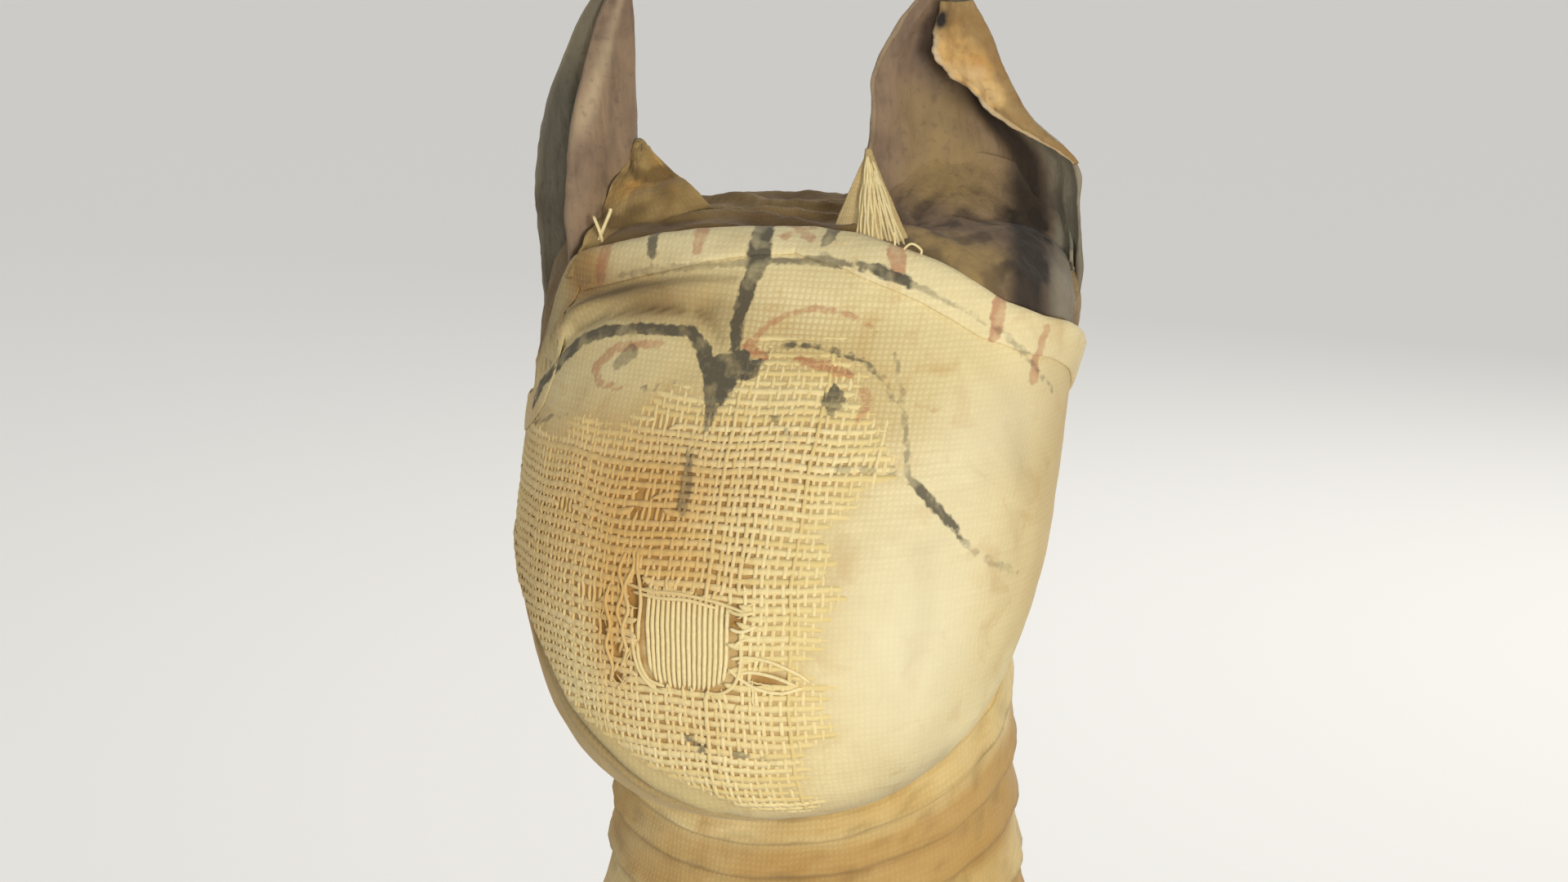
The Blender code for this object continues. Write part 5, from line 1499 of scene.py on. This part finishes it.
def ear_wall(table, turn, skew, foot, inset, side, seed, ridges):
    """One face of an ear's cup: its points, with ribs and nicks, and places on it."""
    first, full, drawn_in = foot
    share = np.linspace(first, 1, EAR_ROWS)[:, None]
    nick = 0.03 * lumps(np.stack([share * 6, 0 * share, 0 * share + seed], axis=-1), 1.0, seed, 4)
    around = np.linspace(-1, 1, EAR_COLUMNS)[None, :] * (1 - np.abs(nick))
    share = np.broadcast_to(share, around.shape)
    if side < 0:
        # the hide thins out to its rim
        inset = inset - (inset + 0.5 * MM) * smooth_step(np.abs(around), 0.78, 1)
    inset = inset + drawn_in * (1 - smooth_step(share, first, full))
    points, outward = ear_frame(table, turn, skew, share, around, inset)
    middle, _ = ear_frame(table, turn, skew, share, 0.0 * around, 0.0)
    spine = EAR_COLUMNS // 2 - 1
    depth = profile(table, middle[..., 2] - CROWN)[3]
    middle = middle - outward[:, spine : spine + 1] * (0.4 * depth)[..., None]
    past = np.clip((share - EAR_TIP) / (EAR_TIP_END - EAR_TIP), 0, 1)
    points = middle + (points - middle) * np.sqrt(1 - past**2)[..., None]
    ribs = lumps(points * np.array([1, 1, 0.22]), 2.6 * MM, seed + 1, 4)
    swells = lumps(points, 9 * MM, seed + 2, 2)
    lift = 0.25 * ribs + 0.5 * swells
    for place, half_width, height in ridges:
        line = place + 0.07 * np.sin(share * 7 + seed)
        lift = lift - side * height * np.exp(-(((around - line) / half_width) ** 2))
    settled = smooth_step(share, first, full) * (1 - 0.9 * smooth_step(share, 0.9, 1))
    return points + outward * (lift * settled * MM)[..., None], share, around


def ear_shell(name, cup, foot, seed, outer_ridges, inner_ridges, ear_stains_and_shading, *nodes):
    """An ear's hide and lining as one closed shell of dried skin."""
    outer, share, around = ear_wall(*cup, foot, -EAR_HIDE, 1, seed, outer_ridges)
    inner, _, _ = ear_wall(*cup, foot, EAR_LINING, -1, seed + 4, inner_ridges)
    points = np.concatenate([outer, inner[:, ::-1]], axis=1)
    back, front = ear_stains_and_shading(False, share, around), ear_stains_and_shading(True, share, around)
    values = {}
    for stain in back:
        both = np.concatenate([back[stain], front[stain][:, ::-1]], axis=1)
        values[stain] = np.clip(both, 0, 1)
    ear = grid_object(name, points, MATERIALS["hide"], values, ring=True, caps=True)
    turn_outward(ear.data)
    finish_piece(ear, "ear_hide", *nodes)


def ear_groove(around):
    """The shaded groove beside the left ear's outer rim."""
    return smooth_step(around, 0.12, 0.3) * (1 - smooth_step(around, 0.44, 0.7))


def left_ear_stains_and_shading(inside, share, around):
    """How dark, ochre, grey and pale the left ear's lining or its back is."""
    base = 1 - smooth_step(share, 0.44, 0.56)
    if not inside:
        rim = smooth_step(np.abs(around), 0.93, 1) * smooth_step(share, 0.5, 0.7)
        return {
            "dark": 0.25 * base,
            "ochre": 0.25 + 0 * share,
            "grey": 0.2 + 0.5 * smooth_step(around, 0, 0.4),
            "pale": 0.3 * rim,
        }
    # painted shade: in the cup below the tip and in the groove by the outer rim
    shade = 0.3 * smooth_step(share, 0.66, 0.78) * (1 - smooth_step(share, 0.86, 0.98))
    shade = shade * smooth_step(around, -0.5, 0)
    groove = ear_groove(around) * (1 - smooth_step(share, 0.72, 0.9))
    centre = np.exp(-(((around + 0.2) / 0.42) ** 2)) * smooth_step(share, 0.4, 0.55)
    return {
        "dark": 0.9 * groove + 0.1 * base + shade,
        "ochre": 0.7 * centre * (1 - smooth_step(share, 0.7, 0.82)),
        "grey": 0.8 * smooth_step(around, 0.46, 0.7),
        "pale": 0.2 * smooth_step(-around, 0.965, 1) * smooth_step(share, 0.66, 0.8),
    }


def right_ear_stains_and_shading(inside, share, around):
    """How dark, ochre, grey and pale the right ear's lining or its back is."""
    if inside:
        # dark: painted shade deep in the cup
        return {
            "dark": 0.6 * np.exp(-(((around + 0.05) / 0.5) ** 2)),
            "ochre": 0.2 * smooth_step(share, 0.7, 0.85),
            "grey": 0.85 * smooth_step(-around, 0.2, 0.5),
            "pale": 0.25 * smooth_step(share, 0.7, 0.85) * smooth_step(-around, 0.5, 0.8),
        }
    foot = 1 - smooth_step(share, 0.46, 0.62)
    rim = smooth_step(around, 0.93, 1)
    # a painted highlight along the ridge of the ear's back
    streak = np.exp(-(((around - 0.86 + 0.8 * (share - 0.74)) / 0.09) ** 2))
    return {
        "dark": 0.2 * rim,
        "ochre": 0.65 * foot * (1 - smooth_step(around, 0.55, 0.9)),
        "grey": 0.35 * smooth_step(-around, 0.2, 0.6),
        "pale": 0.42 * streak * smooth_step(share, 0.58, 0.72) + 0.15 * rim,
    }


# Peeled hide: share of the ear's height, and its width there
FLAP_PLACES = [
    (0.590, 0.5 * MM),
    (0.630, 1.8 * MM),
    (0.680, 4.1 * MM),
    (0.740, 7.0 * MM),
    (0.800, 10.4 * MM),
    (0.860, 11.0 * MM),
    (0.920, 8.8 * MM),
    (0.970, 6.2 * MM),
]
FLAP_HIDE = 0.9 * MM
FLAP_ROWS = 90
FLAP_COLUMNS = 30


def ear_flap():
    """Hide peeled from the left ear's outer rim, curled over the front of the cup."""
    across, opening = ear_directions(LEFT_EAR_TURN)
    share = np.linspace(FLAP_PLACES[0][0], FLAP_PLACES[-1][0], FLAP_ROWS)[:, None]
    width = profile(FLAP_PLACES, share)[0]
    run = np.linspace(0, 1, FLAP_COLUMNS)[None, :]
    tear = lumps(np.stack([share * 16, 0 * share, 0 * share], axis=-1), 1.0, 21, 4)
    width = np.maximum(width + tear * 1.5 * MM, 0.6 * MM)
    rim, _ = ear_frame(*LEFT_CUP, share, np.ones_like(share), -EAR_HIDE)
    swell = 0.7 * MM * smooth_step(share, 0.58, 0.68) + 0.26 * width * np.sin(math.pi * run)
    curl = 0.24 * width * smooth_step(run, 0.7, 1) * (1 + 0.8 * tear)
    reach = width * (run - 0.08 * smooth_step(run, 0.8, 1))
    points = rim - across * reach[..., None] + opening * (swell + curl)[..., None]
    points = points + opening * (0.45 * MM * lumps(points, 4 * MM, 22, 4))[..., None]
    hole = np.exp(-(((share - 0.925) / 0.02) ** 2)) * np.exp(-(((run - 0.86) / 0.14) ** 2))
    bare = spot(share, run, 0.805, 0.62, 0.10, 0.46) * (1 + 0.5 * lumps(points, 3 * MM, 24, 4))
    brown = 1 - smooth_step(bare, 0.2, 0.6)
    torn = smooth_step(run, 0.86, 0.96) * (1 - smooth_step(share, 0.88, 0.93))
    pale = 0.8 * torn + 0.4 * smooth_step(bare, 0.5, 1.0) * (1 - smooth_step(share, 0.8, 0.84))
    values = {
        "dark": np.clip(0.95 * hole + 0.44 * brown * (1 - 0.6 * torn), 0, 1),
        "ochre": np.clip(0.7 * spot(share, run, 0.825, 0.3, 0.03, 0.2), 0, 1),
        "grey": np.clip(0.12 * brown * (1 - torn), 0, 1),
        "pale": np.clip(pale, 0, 1),
    }
    flap = grid_object("peeled_hide", points, MATERIALS["raw_hide"], values=values)
    give_thickness(flap, FLAP_HIDE, 0)
    turn_outward(flap.data)
    finish_piece(flap, "ear_raw_hide", "left_ear_flap")


# Torn corners of cloth at the ears' feet: place across, back and over the crown
COLLAR_CLOTH = 0.6 * MM
COLLAR_GRID = 56
COLLAR_SIZE = (20 * MM, 18 * MM)
LEFT_COLLAR = [(10.5, -12.5, -1.5), (24.0, -14.5, -3.5), (12.7, -3.0, 12.0)]
RIGHT_COLLAR = [(-35.2, -14.2, -7.8), (-13.0, -7.0, -0.8), (-29.6, -2.0, 11.6)]
# on the ochre corner: strength, above zero for painted shade in its folds and below for painted
# highlights on its rolls, then run and height, and the half widths of both
RIGHT_SHADE_AND_HIGHLIGHTS = [
    (-0.9, 0.35, 0.52, 0.30, 0.11),
    (-0.7, 0.85, 0.60, 0.16, 0.25),
    (0.85, 0.42, 0.27, 0.20, 0.07),
    (0.6, 0.72, 0.36, 0.10, 0.12),
    (0.5, 0.12, 0.62, 0.10, 0.2),
    (0.35, 0.9, 0.02, 0.3, 0.1),
]


def ear_collar(name, corners, material, slot, seed, folds, rolls, marks, node):
    left, right, top = (np.array([x * MM, y * MM, CROWN + z * MM]) for x, y, z in corners)
    facing = unit(np.cross(right - left, top - left))
    facing = -facing if facing[1] > 0 else facing
    up = np.linspace(-0.14, 0.98, COLLAR_GRID)[:, None]
    run = np.linspace(-0.05, 1.05, COLLAR_GRID)[None, :]
    edge_place = np.stack([run * 9 + 0 * up, 0 * run + 0 * up, 0 * run + 0 * up + seed], axis=-1)
    torn = 0.05 * lumps(edge_place, 1.0, seed, 4)
    lift = np.clip(up + torn * smooth_step(up, 0.3, 1), -0.14, 1)
    start = left + (top - left) * lift[..., None]
    end = right + (top - right) * lift[..., None]
    points = start + (end - start) * np.broadcast_to(run, lift.shape)[..., None]
    pleat = np.sin(run * folds + seed + up * 2)
    bend = 0.35 * np.sin(run * 4 + seed)
    roll = np.sin((up + 0.25 * run + 0.3 * bend) * rolls + 1) * smooth_step(up, -0.05, 0.15)
    swell = 1.5 * np.sin(math.pi * np.clip(run, 0, 1)) * (1 - up)
    swell = swell + (0.3 * pleat + 0.11 * rolls * roll) * (1.1 - up)
    swell = swell + 0.08 * rolls * lumps(points, 5 * MM, seed, 4)
    points = points + facing * (swell * MM)[..., None]
    flat = [
        np.broadcast_to(share, lift.shape) * size for share, size in zip((run, up), COLLAR_SIZE)
    ]
    # painted shade in the valleys of the pleats and rolls
    creases = 0.3 * smooth_step(-pleat, 0.5, 1) + 0.06 * rolls * smooth_step(-roll, 0.2, 1)
    marked = [strength * spot(run, lift, *place) for strength, *place in marks]
    # painted shade from the marks above zero; the marks below zero are painted highlights, kept in
    # the gap layer
    shaded = creases + sum(np.clip(mark, 0, 1) for mark in marked)
    bright = sum(np.clip(-mark, 0, 1) for mark in marked)
    values = {
        "amber": 0.15 * (1 - lift),
        "grime_and_shade": np.clip(shaded, 0, 0.75),
        "gap": np.clip(bright + 0 * lift, 0, 1),
    }
    collar = grid_object(name, points, material, values, flat)
    give_thickness(collar, COLLAR_CLOTH, 1 if facing[1] < 0 else -1)
    turn_outward(collar.data)
    finish_piece(collar, slot, node)
    return collar, points, facing


NO_PAINT = {"soot": 4.0, "red": 4.0}  # mm to the nearest stroke: far enough


def collar_threads(points, facing):
    """Upright threads left where the cross threads of the pale corner have gone."""
    rng = np.random.default_rng(SEED + 9)
    strands = []
    first = points.shape[1] // 3
    for column in range(first, points.shape[1] - 2, 3):
        path = points[6:-3, column] + facing * (COLLAR_CLOTH + rng.uniform(0, 0.12) * MM)
        path = path[: int(len(path) * rng.uniform(0.8, 1))]
        sway = 0.12 * MM * np.sin(np.arange(len(path)) / 4 + column)
        path = path + np.array([1, 0, 0]) * sway[:, None]
        outward = np.broadcast_to(facing, path.shape)
        values = {"tone": rng.uniform(0, 0.4), "amber": 0.05, **NO_PAINT}
        strands.append((path, outward, 0.24 * MM, 0.24 * MM, values))
    return finished_threads("corner_threads", strands)


# Loose ends by the ears' feet: half width, then places across, back and over the crown
STRAY_ENDS = [
    (0.32, [(-33.4, -13.8, -8.0), (-31.8, -13.6, -3.2), (-30.6, -12.8, 0.2), (-30.5, -12.6, 1.0)]),
    (0.30, [(-30.9, -13.8, -7.0), (-32.0, -13.9, -3.0), (-33.6, -12.9, -0.4)]),
    (0.22, [(22.6, -16.4, -4.6), (23.6, -17.4, -2.6), (25.2, -17.6, -1.2), (26.8, -17.2, -2.2),
            (26.4, -16.8, -3.6)]),
    (0.20, [(21.6, -16.4, -4.4), (22.2, -17.2, -2.0), (22.0, -16.8, 0.6)]),
    (0.18, [(23.2, -16.4, -4.6), (24.6, -17.8, -3.4), (26.2, -18.2, -4.4)]),
]


def stray_ends():
    strands = []
    for half_width, line in STRAY_ENDS:
        stations = [(i, *place) for i, place in enumerate(line)]
        x, y, z = profile(stations, np.linspace(0, len(line) - 1, 8 * len(line)))
        path = np.stack([x * MM, y * MM, CROWN + z * MM], axis=-1)
        outward = np.broadcast_to(np.array([0.0, -1.0, 0.2]), path.shape)
        values = {"tone": 0.1, "amber": 0.1, **NO_PAINT}
        strands.append((path, outward, half_width * MM, half_width * MM, values))
    finished_threads("stray_ends", strands)


def finished_threads(name, strands):
    threads = strands_object(name, strands, MATERIALS["yarn"], 5)
    finish_piece(threads, "linen_cream")
    return threads


# Winding

STRIP_STEPS = 132  # in each turn
STRIP_SPANS = 9
# name, last turn, material, slot, node
STRIPS = [
    ("foot_wrap", 3.88, "ochre", "linen_ochre", "foot_bandage"),
    ("hip_wrap", 8.1, "cream", "linen_cream", "hip_bandage"),
    ("belly_wrap", 10.92, "ochre", "linen_ochre", "belly_bandage"),
    ("chest_wrap", 14.07, "cream", "linen_cream", "chest_bandage"),
    ("shoulder_wrap", 16.9, "amber", "linen_amber", "shoulder_bandage"),
    ("neck_wrap", WRAP_END, "cream", "linen_cream", "neck_bandage"),
]


def wrap_heights(turn, angle):
    """Height of the winding after so many turns: crowded towards the neck, high at the nape."""
    share = turn / WRAP_TURNS
    low = WRAP_FOOT + (WRAP_TOP - WRAP_FOOT) * (share + WRAP_CROWDING * share * (1 - share))
    return low - WRAP_RISE * share**RISE_POWER * np.cos(angle)


STRIP_CLOTH = 0.8 * MM
STRIP_SEAT = 1.0 * MM
STRIP_STEP = 1.05 * MM
EDGE_FOLD = 0.22 * MM  # added to the cloth where its lower edge is turned in
EDGE_DROP = 0.3 * MM
# ochre turns below the pale band under the chin
OCHRE_TURNS = (18.3, 18.7, 20.1, 20.5)


def strip(name, first, last, seed, material, slot, node):
    """One length of bandage, each turn lapped over the one below; its lower edge is turned in."""
    steps = int(round((last - first) * STRIP_STEPS))
    start = np.linspace(first, last, steps + 1)[:, None]
    angle = math.pi + 2 * math.pi * start
    low, high = np.maximum(0, -start), np.minimum(WRAP_WIDTH, WRAP_TURNS - start)
    spans = np.linspace(0, 1, STRIP_SPANS)[None, :] ** 1.3
    spread = low + (high - low) * spans
    # the edge wanders, as a torn strip's does
    edge_place = np.stack([np.sin(angle) * 3, np.cos(angle) * 3, start * 1.3], axis=-1)
    edge = 0.09 * lumps(edge_place, 1.0, seed, 3)
    turn = np.clip(start + np.clip(spread + edge * (1 - spans) ** 2, 0, None), 0, WRAP_TURNS)
    stand = STRIP_SEAT + STRIP_STEP * (WRAP_WIDTH - spread)
    points, outward = body_frame(wrap_heights(turn, angle), angle + 0 * turn)
    round_x, round_y = np.sin(angle) + 0 * turn, np.cos(angle) + 0 * turn
    crease = lumps(np.stack([round_x * 7, round_y * 7, turn * 2.4], axis=-1), 1.0, seed + 1, 4)
    pull = lumps(np.stack([round_x * 2.5, round_y * 2.5, turn * 4.5], axis=-1), 1.0, seed + 2, 3)
    slack = (0.3 * crease + 0.4 * pull) * (0.3 + 0.7 * (1 - spans))
    inner = points + outward * (stand + np.minimum(slack, 0.1) * MM)[..., None]
    thick = STRIP_CLOTH + EDGE_FOLD * np.exp(-((spans / 0.08) ** 2)) + 0.2 * MM * slack
    outer = points + outward * (stand + slack * MM + thick)[..., None]
    lip_stand = stand[:, :1] + slack[:, :1] * MM + thick[:, :1] * 0.45
    lip = points[:, :1] + outward[:, :1] * lip_stand[..., None]
    lip = lip - np.array([0, 0, EDGE_DROP])
    section = np.concatenate([lip, outer, inner[:, ::-1]], axis=1)
    length = np.linalg.norm(np.diff(points[:, 0], axis=0), axis=-1)
    run = np.concatenate([[0], length.cumsum()])[:, None]
    width = np.linalg.norm(points[:, -1] - points[:, 0], axis=-1)[:, None]
    across = np.concatenate([0 * width, width * spans, (width * spans)[:, ::-1]], axis=1)
    place = (np.broadcast_to(run, across.shape), across)
    # painted shade under each lap, in the creases' valleys and along the turned-in lower edge
    painted_shade = 0.5 * smooth_step(spread, 0.8, 1.05) + np.clip(-crease * 0.5 - 0.1, 0, 0.25)
    painted_shade = np.clip(painted_shade + 0.22 * np.exp(-((spans / 0.05) ** 2)), 0, 0.8)
    begin, full, going, gone = OCHRE_TURNS
    ochre = 0.6 * smooth_step(turn, begin, full) * (1 - smooth_step(turn, going, gone))
    stain = np.clip(0.6 * lumps(points, 24 * MM, seed + 3, 4) + 0.08 + ochre, 0, 0.75)
    values = {
        "grime_and_shade": np.concatenate([painted_shade[:, :1], painted_shade, painted_shade[:, ::-1]], axis=1),
        "amber": np.concatenate([stain[:, :1], stain, stain[:, ::-1]], axis=1),
        "gap": np.zeros(section.shape[:2]),
    }
    piece = grid_object(name, section, MATERIALS[material], values, place, ring=True, caps=True)
    turn_outward(piece.data)
    finish_piece(piece, slot, node)
    return piece, (float(run[-1, 0]), float(width.mean()))


def winding():
    first = WRAP_START
    for seed, (name, last, material, slot, node) in enumerate(STRIPS):
        piece, size = strip(name, first, last, 40 + 5 * seed, material, slot, node)
        first = last


# Foot pad

FOOT_HALF_WIDTH, FOOT_FRONT, FOOT_BACK = 34 * MM, 31 * MM, 33 * MM
FOOT_HEIGHT = 12 * MM
FOOT_ROWS = 53
FOOT_COLUMNS = 160
FOOT_STITCHES = 44
FOOT_SEAM = 0.55 * FOOT_HEIGHT
# share of the half width, and height, from the middle of the underside to the middle of the top
FOOT_SECTION = [
    (0.02, 0.0),
    (0.3, 0.0),
    (0.6, 0.0),
    (0.8, 0.0),
    (0.88, 0.02),
    (0.94, 0.1),
    (0.985, 0.28),
    (1.0, 0.5),
    (0.99, 0.72),
    (0.95, 0.9),
    (0.86, 0.985),
    (0.6, 1.0),
    (0.3, 1.0),
    (0.02, 1.0),
]


def foot_pad():
    angles = np.linspace(-math.pi, math.pi, FOOT_COLUMNS, endpoint=False)[None, :]
    section = np.array(FOOT_SECTION)
    places = np.arange(len(section))
    fine = np.linspace(0, len(section) - 1, FOOT_ROWS)
    reach = np.interp(fine, places, section[:, 0])[:, None]
    height = np.interp(fine, places, section[:, 1])[:, None] * FOOT_HEIGHT
    middle, depth = (FOOT_BACK - FOOT_FRONT) / 2, (FOOT_BACK + FOOT_FRONT) / 2
    x, y = FOOT_HALF_WIDTH * reach * np.sin(angles), middle - depth * reach * np.cos(angles)
    points = np.stack([x, y, height + 0 * angles], axis=-1)
    side = np.exp(-(((height / FOOT_HEIGHT - 0.5) / 0.3) ** 2))
    seam = np.exp(-(((height - FOOT_SEAM) / (0.7 * MM)) ** 2)) * (reach > 0.9)
    stitches = 0.5 + 0.5 * np.sin(angles * FOOT_STITCHES)
    pull = 0.5 * lumps(points, 9 * MM, 71) * side - 0.7 * seam + 0.5 * seam * stitches
    out_x = np.sin(angles) / FOOT_HALF_WIDTH + 0 * height
    out_y = -np.cos(angles) / depth + 0 * height
    outward = unit(np.stack([out_x, out_y, 0 * angles * height], axis=-1))
    points = points + outward * (pull * MM)[..., None]
    values = {"grime_and_shade": 0.5 * seam * (1 - stitches) + 0.1, "amber": 0.2 + 0 * pull, "gap": 0 * pull}
    upward = np.cumsum(0 * reach + 1.2 * MM, axis=0) + 0 * angles
    flat = (FOOT_HALF_WIDTH * angles + 0 * height, upward)
    pad = grid_object(
        "foot_cushion", points, MATERIALS["amber"], values, flat, ring=True, caps=True
    )
    turn_outward(pad.data)
    finish_piece(pad, "linen_coarse", "foot_pad")


# Assembly

NODE_MATERIALS = {
    "inner_shroud": "packing",
    "front_packing": "packing",
    "back_packing": "packing",
    "face_pad": "packing",
    "left_head_pad": "packing",
    "right_head_pad": "packing",
    "skull": "bone",
    "lower_jaw": "bone",
    "neck_bones": "bone",
    "trunk": "flesh",
    "left_foreleg": "flesh",
    "right_foreleg": "flesh",
    "left_hind_leg": "flesh",
    "right_hind_leg": "flesh",
    "tail": "flesh",
}


def dress_nodes():
    """Gives the solids that stay their finishes."""
    for node, material in NODE_MATERIALS.items():
        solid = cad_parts[node]
        solid.data.materials.clear()
        solid.data.materials.append(MATERIALS[material])


def build():
    add_camera()
    add_studio()
    dress_nodes()
    hem = brow_hem()
    threads = face_weave()
    face = face_cloth()
    hems = [hem, chin_hem()]
    crown = crown_cloth()
    ear_shell(
        "left_ear_skin",
        LEFT_CUP,
        LEFT_FOOT,
        31,
        [(0.2, 0.3, 0.4)],
        [(0.08, 0.14, 1.6), (0.42, 0.16, -0.9), (-0.4, 0.16, 0.6)],
        left_ear_stains_and_shading,
        "left_ear_hide",
        "left_ear_lining",
    )
    ear_shell(
        "right_ear_skin",
        RIGHT_CUP,
        RIGHT_FOOT,
        36,
        [(0.45, 0.1, -0.7), (0.1, 0.12, 0.5), (0.8, 0.06, -0.3)],
        [(0.0, 0.2, 0.5)],
        right_ear_stains_and_shading,
        "right_ear_hide",
        "right_ear_lining",
    )
    ear_flap()
    ear_root_skin(crown)
    cream, ochre = MATERIALS["collar_cream"], MATERIALS["collar_ochre"]
    left, points, facing = ear_collar(
        "left_corner_cloth", LEFT_COLLAR, cream, "linen_cream", 51, 14, 3, [], "left_ear_collar"
    )
    threads = collar_threads(points, facing)
    stray_ends()
    right, _, _ = ear_collar(
        "right_corner_cloth",
        RIGHT_COLLAR,
        ochre,
        "linen_amber",
        56,
        5,
        12,
        RIGHT_SHADE_AND_HIGHLIGHTS,
        "right_ear_collar",
    )
    winding()
    foot_pad()


build()
